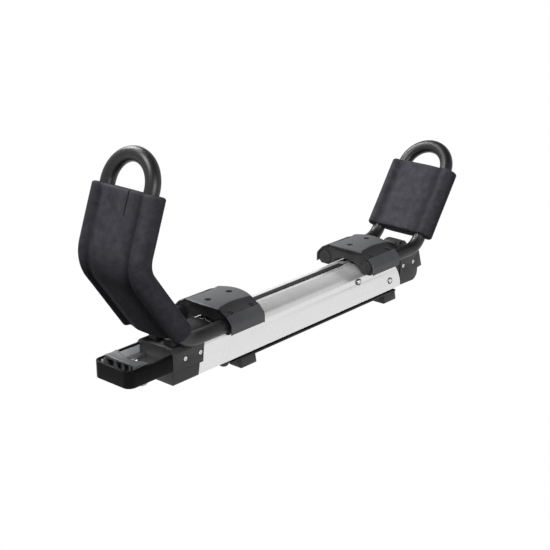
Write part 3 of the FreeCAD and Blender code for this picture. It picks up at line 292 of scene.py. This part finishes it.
# %% Give every CAD node its finish and its edges
FINISH_BY_SLOT = {
    "silver_extrusion": ("silver", 0.0006), "bare_aluminium": ("bare", 0.0003),
    "black_steel": ("steel", 0.0004), "tube_coating": ("tube", 0.0003),
    "foam_pad": ("foam", 0.003), "hub_plastic": ("hub", 0.0005), "cap_plastic": ("cap", 0.0008),
    "gloss_black": ("gloss", 0.001), "lever_plastic": ("lever", 0.0012),
    "chrome_rod": ("chrome", 0.0002), "plated_steel": ("zinc", 0.0004),
}
OWN_FINISH = {
    "outer_cover_screws": "dark_screw", "inner_cover_screws": "dark_screw", "jaw_bolts": "dark_screw",
    "outer_saddle": "saddle", "inner_saddle": "saddle",
    "outer_tube_plugs": "plug", "inner_tube_plugs": "plug",
}
JAW_EDGE = 0.003
for part in frame["record"]["subparts"]:
    finish_name, edge_width = FINISH_BY_SLOT[part["material_slot"]]
    finish_name = OWN_FINISH.get(part["node"], finish_name)
    mesh = nodes[part["node"]].data
    mesh.materials.clear()
    mesh.materials.append(finishes[finish_name])
    if "_jaw_" in part["node"]:
        edge_width = JAW_EDGE
    soften(part["node"], edge_width, flatten="_jaw_" in part["node"])

# %% [markdown]
# Each cradle is padded by a thick foam form that follows its tubes. It is built
# as rings along the cradle's side line: straight runs, joined by one round bend
# on the taller cradle. First come the points on such a line.

# %% Points along a pad's line
MM = 0.001
TUBE_HEIGHT = 97.5 * MM
ELBOW_BEND = 45.0 * MM
PAD_BEND = 52.0 * MM
FOOT_GAP = 2.0 * MM


def bend(before, corner, after, radius, steps):
    """Points on the round bend that joins two straight runs."""
    into, out = (before - corner).normalized(), (after - corner).normalized()
    half = into.angle(out) / 2
    centre = corner + (into + out).normalized() * (radius / math.sin(half))
    first = corner + into * (radius / math.tan(half)) - centre
    last = corner + out * (radius / math.tan(half)) - centre
    turn = first.angle(last)
    points = []
    for k in range(steps + 1):
        share = k / steps
        blend = first * math.sin(turn * (1.0 - share)) + last * math.sin(turn * share)
        points.append(centre + blend / math.sin(turn))
    return points


def at_height(corner, angle, height):
    """The point of a slanted run at a height."""
    return Vector((corner.x + (height - corner.z) / math.tan(angle), 0.0, height))


def pad_line(elbow_along, runs, top, sign):
    """A pad's middle line from just past the elbow to its top; a run is (degrees, knee height)."""
    elbow = Vector((elbow_along, 0.0, TUBE_HEIGHT))
    angle = math.radians(runs[0][0])
    upper = at_height(elbow, angle, runs[0][1])
    foot = bend(elbow - Vector((sign * 0.1, 0.0, 0.0)), elbow, upper, ELBOW_BEND, 4)[-1]
    line = [foot + (upper - foot).normalized() * FOOT_GAP]
    if len(runs) > 1:
        crown = at_height(upper, math.radians(runs[1][0]), top)
        line += bend(elbow, upper, crown, PAD_BEND, 12) + [crown]
    else:
        line.append(at_height(elbow, angle, top))
    return line


outer_line = pad_line(-333.5 * MM, [(180.0 - 54.5, 246.0 * MM), (69.8, 0.0)], 361.0 * MM, -1.0)
inner_line = pad_line(312.0 * MM, [(55.0, 246.0 * MM)], 235.6 * MM, 1.0)
print("pad lines", len(outer_line), len(inner_line))

# %% [markdown]
# Across the line, a pad is a round roll over each tube and a web between them,
# with a valley where they meet. A quarter of that outline is enough, because it
# mirrors twice. At both ends the outline shrinks, which rounds the cut edge.

# %% The outline of a pad
ROLL = 22.0 * MM
ROLL_ALONG_Y = 53.0 * MM
WEB = 20.6 * MM
VALLEY_DEEP = 4.6 * MM
VALLEY_WIDE = (15.0, 6.0)
ROLL_STEPS = 14
SLIT_AT = -22.0
SLIT_DEEP = 9.0 * MM
END_ROUNDING = ((4.5, 0.0), (2.0, 0.7), (0.6, 2.2))
SWELL = 0.25 * MM
COLUMNS = [0.0, 4.0, 8.0, 12.0, 16.0, 19.0, 20.6, 20.9, 22.0, 23.1, 23.4, 25.0, 28.0, 31.0, 34.0, 36.5, 39.0,
           41.0, 43.0, 45.0, 47.0, 48.5, 50.0]


def valley_depth(y, valley_at):
    """How far the skin dips at a distance from the middle: a long slope inside, a short one at the roll."""
    width = VALLEY_WIDE[0] if y < valley_at else VALLEY_WIDE[1]
    return VALLEY_DEEP * math.exp(-((y - valley_at) / width) ** 2)


def pad_outline(inset, valley_at):
    """(y, thickness) pairs round a pad, smaller by inset, with valleys at a distance from the middle."""
    roll, web = ROLL - inset, WEB - inset
    quarter = []
    for y in COLUMNS:
        quarter.append((y * MM, web - valley_depth(y, valley_at)))
    for k in range(1, ROLL_STEPS + 1):
        a = math.pi / 2 * k / ROLL_STEPS
        y = ROLL_ALONG_Y + roll * math.sin(a)
        swell = web + (roll - web) * min(1.0, k / 5.0) - valley_depth(y / MM, valley_at)
        quarter.append((y, swell * math.cos(a)))
    upper = [(-y, t) for y, t in reversed(quarter[1:])] + quarter
    return upper + [(y, -t) for y, t in reversed(upper[1:-1])]


def spaced(line, step):
    """The line's points with more of them on its long runs, each with its distance from the start."""
    out, run = [(line[0], 0.0)], 0.0
    for start, end in zip(line, line[1:]):
        count = max(1, round((end - start).length / step))
        for k in range(1, count + 1):
            out.append((start.lerp(end, k / count), run + (end - start).length * k / count))
        run += (end - start).length
    return out, run


# %% Both foam pads
def link_piece(name, shape, body, finish):
    """Turns a bmesh into a piece that rides on a body."""
    data = bpy.data.meshes.new(name)
    shape.to_mesh(data)
    shape.free()
    piece = bpy.data.objects.new(name, data)
    scene.collection.objects.link(piece)
    data.materials.append(finish)
    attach(piece, body)
    return piece


def foam_pad(name, body, node, line, slit, valley_at):
    """A padded form along a line, with a slit in its front face at the top, painted black inside as shade."""
    stations, length = spaced(line, 3.0 * MM)
    shape = bmesh.new()
    rings = []
    for index, (centre, run) in enumerate(stations):
        before = stations[max(0, index - 1)][0]
        after = stations[min(len(stations) - 1, index + 1)][0]
        heading = (after - before).normalized()
        across = Vector((-heading.z, 0.0, heading.x))
        inwards = 1.0 if run == 0.0 else -1.0
        swell = SWELL * math.sin(9.0 * run / length + 1.0)
        for inset, shift in END_ROUNDING if run in (0.0, length) else ((0.0, 0.0),):
            step_in = shift * MM * inwards
            ring = []
            for y, t in pad_outline(inset * MM, valley_at):
                if slit and t > 0.0 and abs(y / MM - SLIT_AT) < 1.3 and run > length - slit:
                    t -= SLIT_DEEP * min(1.0, (run - length + slit) / (0.4 * slit) + 0.3)
                thick = t + swell * t / ROLL
                spot = centre + heading * step_in + Vector((0.0, y, 0.0)) + across * thick
                ring.append(shape.verts.new(spot))
            rings.append((run + step_in, ring))
    rings.sort(key=lambda pair: pair[0])
    # Painted shade: the faces inside the slit take the black second finish, so the slit reads dark
    in_slit = [slit and t > 0.0 and abs(y / MM - SLIT_AT) < 1.5 for y, t in pad_outline(0.0, valley_at)]
    for (run, low), (_, high) in zip(rings, rings[1:]):
        for k in range(len(low)):
            n = (k + 1) % len(low)
            face = shape.faces.new((low[k], low[n], high[n], high[k]))
            face.smooth = True
            face.material_index = int(bool(in_slit[k] and in_slit[n] and run > length - slit))
    for ring in (rings[0][1], rings[-1][1]):
        shape.faces.new(ring)
    bmesh.ops.recalc_face_normals(shape, faces=shape.faces)
    piece = link_piece(name, shape, body, finishes["foam"])
    piece.data.materials.append(finishes["black_rubber_and_shade"])
    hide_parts(node)
    return piece


outer_foam = foam_pad("outer_foam", "outer_cradle", "outer_pad", outer_line, 44.0 * MM, 48.0)
inner_foam = foam_pad("inner_foam", "inner_cradle", "inner_pad", inner_line, 0.0, 49.0)
for piece in (outer_foam, inner_foam):
    print(piece.name, len(piece.data.polygons))

# %% [markdown]
# The hub covers are moulded shells. Their lighter top plate is waisted, coarse facets fall away from it, and
# soft skirts close the sides. The facets take a darker copy of the cover's grey finish, which paints their
# shade. The section is one list of (y, height) points that changes a little along the hub. A grid of such
# sections gives the outside, and Solidify and Boolean give wall and holes.

# %% One section of a hub cover
HUB_FOOT = 41.5
HUB_MIDDLE = 49.5
HUB_STEPS = 28
PLATE_TOP = 129.3
PLATE_DROP = 3.4
FACET_EDGE, FACET_EDGE_HEIGHT = 57.0, 117.2
SKIRT = [(57.5, 116.8), (59.0, 115.4), (60.5, 113.9), (63.5, 110.7), (66.6, 107.3), (68.4, 105.0),
         (69.5, 102.6), (70.0, 99.5), (70.0, 95.0), (70.0, 90.0), (70.0, 86.3)]
SCREW_HOLE = 5.9
SCREW_ROWS = [(along, across) for along in (-26.4, 26.4) for across in (-51.5, 0.0, 51.5)]


def waist_at(u):
    """Half the plate's width; u runs from -1 to 1 along the hub."""
    return 31.0 + 9.0 * u * u


def cover_section(u):
    """(y, z) points in millimetres from the near skirt to the far one."""
    waist = waist_at(u)
    plate_edge = PLATE_TOP - PLATE_DROP * (waist / 40.0) ** 2
    half = [(waist * k / 8.0, PLATE_TOP - PLATE_DROP * (waist * k / 320.0) ** 2) for k in range(8)]
    half += [(waist - 0.8, plate_edge + 0.15), (waist + 0.8, plate_edge - 0.45)]
    for k in range(1, 8):
        share = k / 8.0
        dip = 1.2 * math.sin(math.pi * share)
        fall = (FACET_EDGE_HEIGHT - plate_edge) * share
        half.append((waist + (FACET_EDGE - waist) * share, plate_edge + fall - dip))
    half += SKIRT
    return [(-y, z) for y, z in reversed(half)] + half[1:]


def cut_out(piece, cutter_shape, crease=24.0):
    """Cuts a shape out of a piece and keeps the result as its mesh."""
    cutter_data = bpy.data.meshes.new("cutter")
    cutter_shape.to_mesh(cutter_data)
    cutter_shape.free()
    cutter = bpy.data.objects.new("cutter", cutter_data)
    scene.collection.objects.link(cutter)
    drill = piece.modifiers.new("Holes", "BOOLEAN")
    drill.object = cutter
    drill.solver = "EXACT"
    bpy.context.view_layer.update()
    solid = piece.evaluated_get(bpy.context.evaluated_depsgraph_get())
    drilled = bpy.data.meshes.new_from_object(solid)
    piece.modifiers.clear()
    piece.data = drilled
    drilled.shade_smooth()
    drilled.set_sharp_from_angle(angle=math.radians(crease))
    bpy.data.objects.remove(cutter)


def hub_cover(name, node, centre):
    """A cover shell over a hub, drilled for its six screws; its facets take the coarser, darker finish, which
    paints their shade.
    """
    shape = bmesh.new()
    rows = []
    for i in range(HUB_STEPS + 1):
        u = -1.0 + 2.0 * i / HUB_STEPS
        row = []
        for y, z in cover_section(u):
            reach = HUB_MIDDLE - (HUB_MIDDLE - HUB_FOOT) * min(1.0, abs(y) / 40.0) ** 2
            round_over = 0.9 * max(0.0, abs(u) - 0.93) / 0.07
            row.append(shape.verts.new(((centre + u * reach) * MM, y * MM, (z - round_over) * MM)))
        rows.append(row)
    for low, high in zip(rows, rows[1:]):
        for k in range(len(low) - 1):
            shape.faces.new((low[k], high[k], high[k + 1], low[k + 1]))
    bmesh.ops.recalc_face_normals(shape, faces=shape.faces)
    if sum(f.normal.z for f in shape.faces) < 0.0:
        bmesh.ops.reverse_faces(shape, faces=shape.faces)
    cutter_shape = bmesh.new()
    for along, across in SCREW_ROWS:
        spot = Matrix.Translation(((centre + along) * MM, across * MM, 125.0 * MM))
        bmesh.ops.create_cone(cutter_shape, cap_ends=True, segments=36, radius1=SCREW_HOLE * MM,
                              radius2=SCREW_HOLE * MM, depth=40.0 * MM, matrix=spot)
    piece = link_piece(name, shape, "carriage", finishes["hub"])
    piece.data.materials.append(finishes["shaded_facet"])
    # Painted shade: faces on the facets take the darker copy of the cover finish
    for face in piece.data.polygons:
        place = face.center / MM
        waist = waist_at((place.x - centre) / HUB_MIDDLE)
        face.material_index = int(waist + 0.8 < abs(place.y) < FACET_EDGE + 1.0)
    wall = piece.modifiers.new("Wall", "SOLIDIFY")
    wall.thickness = 2.0 * MM
    wall.offset = -1.0
    cut_out(piece, cutter_shape)
    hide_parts(node)
    return piece


for hub_name, hub_centre in (("outer", -201.5), ("inner", 191.5)):
    made = hub_cover(f"{hub_name}_hub_cover", f"{hub_name}_cover", hub_centre)
    print(made.name, len(made.data.polygons))

# %% [markdown]
# A black strip fills the beam's top slot as painted shade for that deep slot. A dark sheet on the beam's crown
# between the outer pad and hub stands partly for the saddle's dark block and partly paints the shade under the
# cover. Rays cast down on the beam give the crown's height. Each pin end on the beam's side sits in a black
# bushing, which is one turned profile, spun right round.

# %% Slot strip, painted shade in the beam's slot
SLOT_FLOOR = 85.8 * MM
STRIP_ENDS = (-148.0 * MM, 138.0 * MM)
strip = bmesh.new()
half_section = [(8.0, 0.3), (8.0, 6.6), (7.0, 7.4), (3.6, 7.4),
                (3.6, 10.6), (6.2, 10.6), (6.2, 11.2), (5.0, 11.6)]
strip_section = [(-8.0, 0.3)] + half_section + [(-y, z) for y, z in reversed(half_section[1:])]
ends = [[strip.verts.new((x, y * MM, SLOT_FLOOR + z * MM)) for y, z in strip_section] for x in STRIP_ENDS]
for k in range(len(strip_section)):
    n = (k + 1) % len(strip_section)
    strip.faces.new((ends[0][k], ends[0][n], ends[1][n], ends[1][k]))
for ring in ends:
    strip.faces.new(ring)
bmesh.ops.recalc_face_normals(strip, faces=strip.faces)
# Painted shade: a black strip that darkens the beam's slot
link_piece("slot_shade_strip", strip, "carriage", finishes["black_rubber_and_shade"])

# %% Dark sheet on the beam's crown, saddle block and painted shade
CROWN_SIDE = [-34.0, -30.0, -24.0, -16.0, -8.0, 0.0, 8.0, 16.0, 24.0, 30.0, 34.0]
CROWN_STATIONS = [(-0.318, 1.2), (-0.316, 2.2), (-0.245, 2.2), (-0.243, 1.2)]
SIDE_LIFT = 0.4
BESIDE_SLOT = 10.0
# Partly the saddle's dark block, partly painted shade under the outer cover
crown_block_and_shade = bmesh.new()
crown_rows = []
for x, lift in CROWN_STATIONS:
    row = []
    for y in CROWN_SIDE:
        probe = y if abs(y) > 8.0 else BESIDE_SLOT
        _, crown_spot, _, _ = nodes["beam"].ray_cast((0.0, probe * MM, 0.2), (0.0, 0.0, -1.0))
        rise = lift if abs(y) < CROWN_SIDE[-1] else SIDE_LIFT
        row.append(crown_block_and_shade.verts.new((x, y * MM, crown_spot.z + rise * MM)))
    crown_rows.append(row)
for low, high in zip(crown_rows, crown_rows[1:]):
    for k in range(len(low) - 1):
        crown_block_and_shade.faces.new((low[k], high[k], high[k + 1], low[k + 1])).smooth = True
block = link_piece("crown_block_and_shade", crown_block_and_shade, "carriage", finishes["saddle"])
thickness = block.modifiers.new("Thickness", "SOLIDIFY")
thickness.thickness = 1.0 * MM
thickness.offset = 1.0


# %% Bushings and pin heads
def turned(name, profile, place, side, finish):
    """A profile of (radius, height) pairs spun about Y, facing side."""
    shape = bmesh.new()
    x, wall, z = place
    verts = [shape.verts.new((x + r * MM, side * (wall + h) * MM, z)) for r, h in profile]
    edges = [shape.edges.new(pair) for pair in zip(verts, verts[1:])]
    bmesh.ops.spin(shape, geom=verts + edges, cent=(x, 0.0, z), axis=(0.0, 1.0, 0.0),
                   angle=math.tau, steps=40, use_merge=True)
    bmesh.ops.remove_doubles(shape, verts=shape.verts, dist=1e-6)
    bmesh.ops.recalc_face_normals(shape, faces=shape.faces)
    for face in shape.faces:
        face.smooth = True
    piece = link_piece(name, shape, "carriage", finish)
    piece.modifiers.new("Crisp edges", "EDGE_SPLIT").split_angle = math.radians(30.0)
    return piece


BUSHING = [(4.9, -0.4), (4.9, 0.5), (5.3, 0.8), (6.2, 0.8), (6.6, 0.4), (6.6, -0.4), (4.9, -0.4)]
PIN_HEAD = [(0.01, 0.6), (2.6, 0.6), (3.0, 1.0), (4.2, 1.0), (4.7, 0.5), (4.7, -0.6), (0.01, -0.6)]
BEAM_SIDE = 43.5
for pin_name, pin_x, pin_z in (("carry", 0.1393, 0.0703), ("stud", 0.2401, 0.0451)):
    for side_name, side in (("near", -1.0), ("far", 1.0)):
        spot = (pin_x, BEAM_SIDE, pin_z)
        turned(f"{pin_name}_bushing_{side_name}", BUSHING, spot, side, finishes["black_rubber_and_shade"])
        turned(f"{pin_name}_head_{side_name}", PIN_HEAD, spot, side, finishes["zinc"])

# %% [markdown]
# The release lever is a moulded grip between the handle's arms. Its top dips
# for the fingers, its back is hollowed, and ribs part its front into pockets.
# A grid gives the top, its rim drops to a flat base, and boxes cut the pockets.

# %% Release lever
LEVER_HALF = 33.4
LEVER_BASE = 56.0
LEVER_FRONT = -435.2
FRONT_SKEW = 2.2
POCKET_MIDDLE = (-440.0, 71.0)
POCKET_SIZE = (26.0, 20.5)
POCKETS = [(-30.5, -25.5), (-23.0, -9.5), (-7.5, 6.5), (10.0, 28.5)]
ACROSS, DEEP = 32, 10
LEVER_BACK = [(-33.4, -400.0), (-27.0, -406.0), (-20.0, -412.5), (-12.0, -417.0), (0.0, -418.0), (12.0, -415.5),
              (24.0, -411.5), (33.4, -409.0)]
LEVER_TOP = [(-33.4, 83.0), (-26.0, 84.5), (-12.0, 85.0), (0.0, 85.5), (12.0, 86.3), (22.0, 87.3), (28.0, 87.6),
             (33.4, 86.6)]


def along_list(pairs, y):
    """The value at y, eased between the listed ones."""
    for (y0, v0), (y1, v1) in zip(pairs, pairs[1:]):
        if y <= y1:
            share = min(1.0, max(0.0, (y - y0) / (y1 - y0)))
            return v0 + (v1 - v0) * share
    return pairs[-1][1]


def add_box(shape, middle, size):
    """Adds a box to a bmesh."""
    made = bmesh.ops.create_cube(shape, size=1.0)["verts"]
    bmesh.ops.scale(shape, vec=size, verts=made)
    bmesh.ops.translate(shape, vec=middle, verts=made)


grip = bmesh.new()
grip_rows = []
for i in range(ACROSS + 1):
    y = -LEVER_HALF + 2.0 * LEVER_HALF * i / ACROSS
    front_x = LEVER_FRONT - FRONT_SKEW * y / LEVER_HALF + 3.0 * max(0.0, (abs(y) - 28.0) / 5.4) ** 2
    back_x = along_list(LEVER_BACK, y)
    row = []
    for j in range(DEEP + 1):
        share = j / DEEP
        edge = 1.2 * max(0.0, 1.0 - 8.0 * min(share, 1.0 - share)) + 1.0 * max(0.0, (abs(y) - 31.0) / 2.4)
        hollow = 1.6 * math.sin(math.pi * share)
        near_fall = 4.0 * share * max(0.0, -y / LEVER_HALF)
        z = along_list(LEVER_TOP, y) - edge - hollow - near_fall
        row.append(grip.verts.new(((front_x + (back_x - front_x) * share) * MM, y * MM, z * MM)))
    grip_rows.append(row)
for low, high in zip(grip_rows, grip_rows[1:]):
    for k in range(DEEP):
        grip.faces.new((low[k], low[k + 1], high[k + 1], high[k]))
rim = [row[0] for row in grip_rows] + grip_rows[-1][1:] + [row[-1] for row in reversed(grip_rows[:-1])]
rim += list(reversed(grip_rows[0][1:-1]))
foot = [grip.verts.new((v.co.x, v.co.y, LEVER_BASE * MM)) for v in rim]
for k in range(len(rim)):
    n = (k + 1) % len(rim)
    grip.faces.new((rim[k], rim[n], foot[n], foot[k]))
grip.faces.new(foot)
bmesh.ops.recalc_face_normals(grip, faces=grip.faces)
pockets = bmesh.new()
for low_y, high_y in POCKETS:
    add_box(pockets, (POCKET_MIDDLE[0] * MM, (low_y + high_y) / 2 * MM, POCKET_MIDDLE[1] * MM),
            (POCKET_SIZE[0] * MM, (high_y - low_y) * MM, POCKET_SIZE[1] * MM))
lever = link_piece("lever_grip", grip, "release", finishes["lever"])
cut_out(lever, pockets, crease=40.0)
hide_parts("release_lever")
print("lever faces", len(lever.data.polygons))

# %% [markdown]
# Inside the grab handle, a row of short upright ribs stiffens the front rim.
# One rounded rib is made and then copied along the rim at an even pitch.

# %% Ribs inside the grab handle
RIB_COUNT = 19
RIB_HALF_ROW = 31.0
RIB_SIZE = (3.6 * MM, 1.5 * MM, 20.0 * MM)
ribs = bmesh.new()
rim_low, rim_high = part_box("grab_handle")
rib_x = rim_low[0] + 6.2 * MM
for k in range(RIB_COUNT):
    y = (-RIB_HALF_ROW + 2.0 * RIB_HALF_ROW * k / (RIB_COUNT - 1)) * MM
    add_box(ribs, (rib_x, y, rim_high[2] - 11.6 * MM), RIB_SIZE)
bmesh.ops.bevel(ribs, geom=ribs.edges[:], offset=0.0003, offset_type="OFFSET", segments=2, profile=0.5,
                affect="EDGES", material=-1)
link_piece("handle_ribs", ribs, "carriage", finishes["cap"])

# %% [markdown]
# The photograph shows the rack on plain white, lit softly from all sides. A
# large floor and a bright world give that. The floor lies well below the rack's
# feet, because the lowered beam hangs past the edge of the roof it stands on.
# Three wide area lamps model the shapes: left, right front and behind.

# %% Floor, world and lamps
def white_mix(tree, lit, seen, gloss_share):
    """The seen shader for camera rays, a share of it for glossy ones, and the lit one for the rest."""
    path = tree.nodes.new("ShaderNodeLightPath")
    straight = worked_out(tree, "MAXIMUM", path.outputs["Is Camera Ray"], path.outputs["Is Transmission Ray"])
    glossy = worked_out(tree, "MULTIPLY", path.outputs["Is Glossy Ray"], gloss_share)
    mix = tree.nodes.new("ShaderNodeMixShader")
    tree.links.new(worked_out(tree, "MAXIMUM", straight, glossy), mix.inputs["Fac"])
    tree.links.new(lit.outputs[0], mix.inputs[1])
    tree.links.new(seen.outputs[0], mix.inputs[2])
    return mix


FLOOR_HEIGHT = -1.2
floor_mesh = bmesh.new()
bmesh.ops.create_grid(floor_mesh, x_segments=1, y_segments=1, size=12.0)
floor_data = bpy.data.meshes.new("floor")
floor_mesh.to_mesh(floor_data)
floor_mesh.free()
floor = bpy.data.objects.new("floor", floor_data)
scene.collection.objects.link(floor)
floor.location.z = FLOOR_HEIGHT
floor_paint = bpy.data.materials.new("Pale floor")
floor_paint.use_nodes = True
floor_tree = floor_paint.node_tree
floor_shader = floor_tree.nodes["Principled BSDF"]
floor_shader.inputs["Base Color"].default_value = (0.04, 0.04, 0.04, 1.0)
floor_shader.inputs["Roughness"].default_value = 0.9
floor_glow = floor_tree.nodes.new("ShaderNodeEmission")
floor_mix = white_mix(floor_tree, floor_shader, floor_glow, 1.0)
floor_tree.links.new(floor_mix.outputs[0], floor_tree.nodes["Material Output"].inputs["Surface"])
floor_data.materials.append(floor_paint)

world = bpy.data.worlds.new("White studio")
scene.world = world
world.use_nodes = True
world_tree = world.node_tree
world_light = world_tree.nodes["Background"]
world_way = world_tree.nodes.new("ShaderNodeTexCoord")
world_axes = world_tree.nodes.new("ShaderNodeSeparateXYZ")
world_tree.links.new(world_way.outputs["Generated"], world_axes.inputs["Vector"])


def graded(background, low, high, strength_low, strength_high):
    """Makes a background's strength change with height between two directions."""
    ramp = world_tree.nodes.new("ShaderNodeMapRange")
    ramp.inputs["From Min"].default_value = low
    ramp.inputs["From Max"].default_value = high
    ramp.inputs["To Min"].default_value = strength_low
    ramp.inputs["To Max"].default_value = strength_high
    world_tree.links.new(world_axes.outputs["Z"], ramp.inputs["Value"])
    world_tree.links.new(ramp.outputs["Result"], background.inputs["Strength"])


graded(world_light, -0.15, 0.9, 0.0, 0.22)
world_white = world_tree.nodes.new("ShaderNodeBackground")
world_white.inputs["Color"].default_value = (1.0, 1.0, 1.0, 1.0)
world_mix = white_mix(world_tree, world_light, world_white, 0.0)
mirror = world_tree.nodes.new("ShaderNodeBackground")
graded(mirror, 0.45, 0.75, 0.85, 0.12)
world_path = world_tree.nodes.new("ShaderNodeLightPath")
world_pick = world_tree.nodes.new("ShaderNodeMixShader")
world_tree.links.new(world_path.outputs["Is Glossy Ray"], world_pick.inputs["Fac"])
world_tree.links.new(world_mix.outputs[0], world_pick.inputs[1])
world_tree.links.new(mirror.outputs[0], world_pick.inputs[2])
world_tree.links.new(world_pick.outputs[0], world_tree.nodes["World Output"].inputs["Surface"])

for lamp_name, place, size, power in (
    ("left", (-1.55, 0.45, 2.3), 0.8, 46.0),
    ("front", (-0.9, -2.3, 1.0), 0.8, 27.0),
    ("back", (0.1, 1.6, 1.8), 1.0, 44.0),
):
    lamp = bpy.data.lights.new(lamp_name, "AREA")
    lamp.size = size
    lamp.energy = power
    lamp_object = bpy.data.objects.new(lamp_name, lamp)
    lamp_object.location = place
    aim = Vector((0.0, 0.0, 0.15)) - Vector(place)
    lamp_object.rotation_euler = aim.to_track_quat("-Z", "Y").to_euler()
    scene.collection.objects.link(lamp_object)

# %% [markdown]
# The camera stands where the photographer did. Its place, turn and lens come
# from fitting the photograph's straight edges, so each piece falls on the
# pixels that it has there.

# %% Camera
CAMERA_PLACE = (-1.6614, -1.4092, 0.8959)
LOOK_TURN = -48.76
LOOK_DOWN = 19.80
FOCAL_PIXELS = 1258.8
camera_data = bpy.data.cameras.new("camera")
camera_data.sensor_width = 36.0
camera_data.lens = FOCAL_PIXELS / 550.0 * camera_data.sensor_width
camera = bpy.data.objects.new("camera", camera_data)
camera.location = CAMERA_PLACE
camera.rotation_euler = (math.radians(90.0 - LOOK_DOWN), 0.0, math.radians(LOOK_TURN))
scene.collection.objects.link(camera)
scene.camera = camera
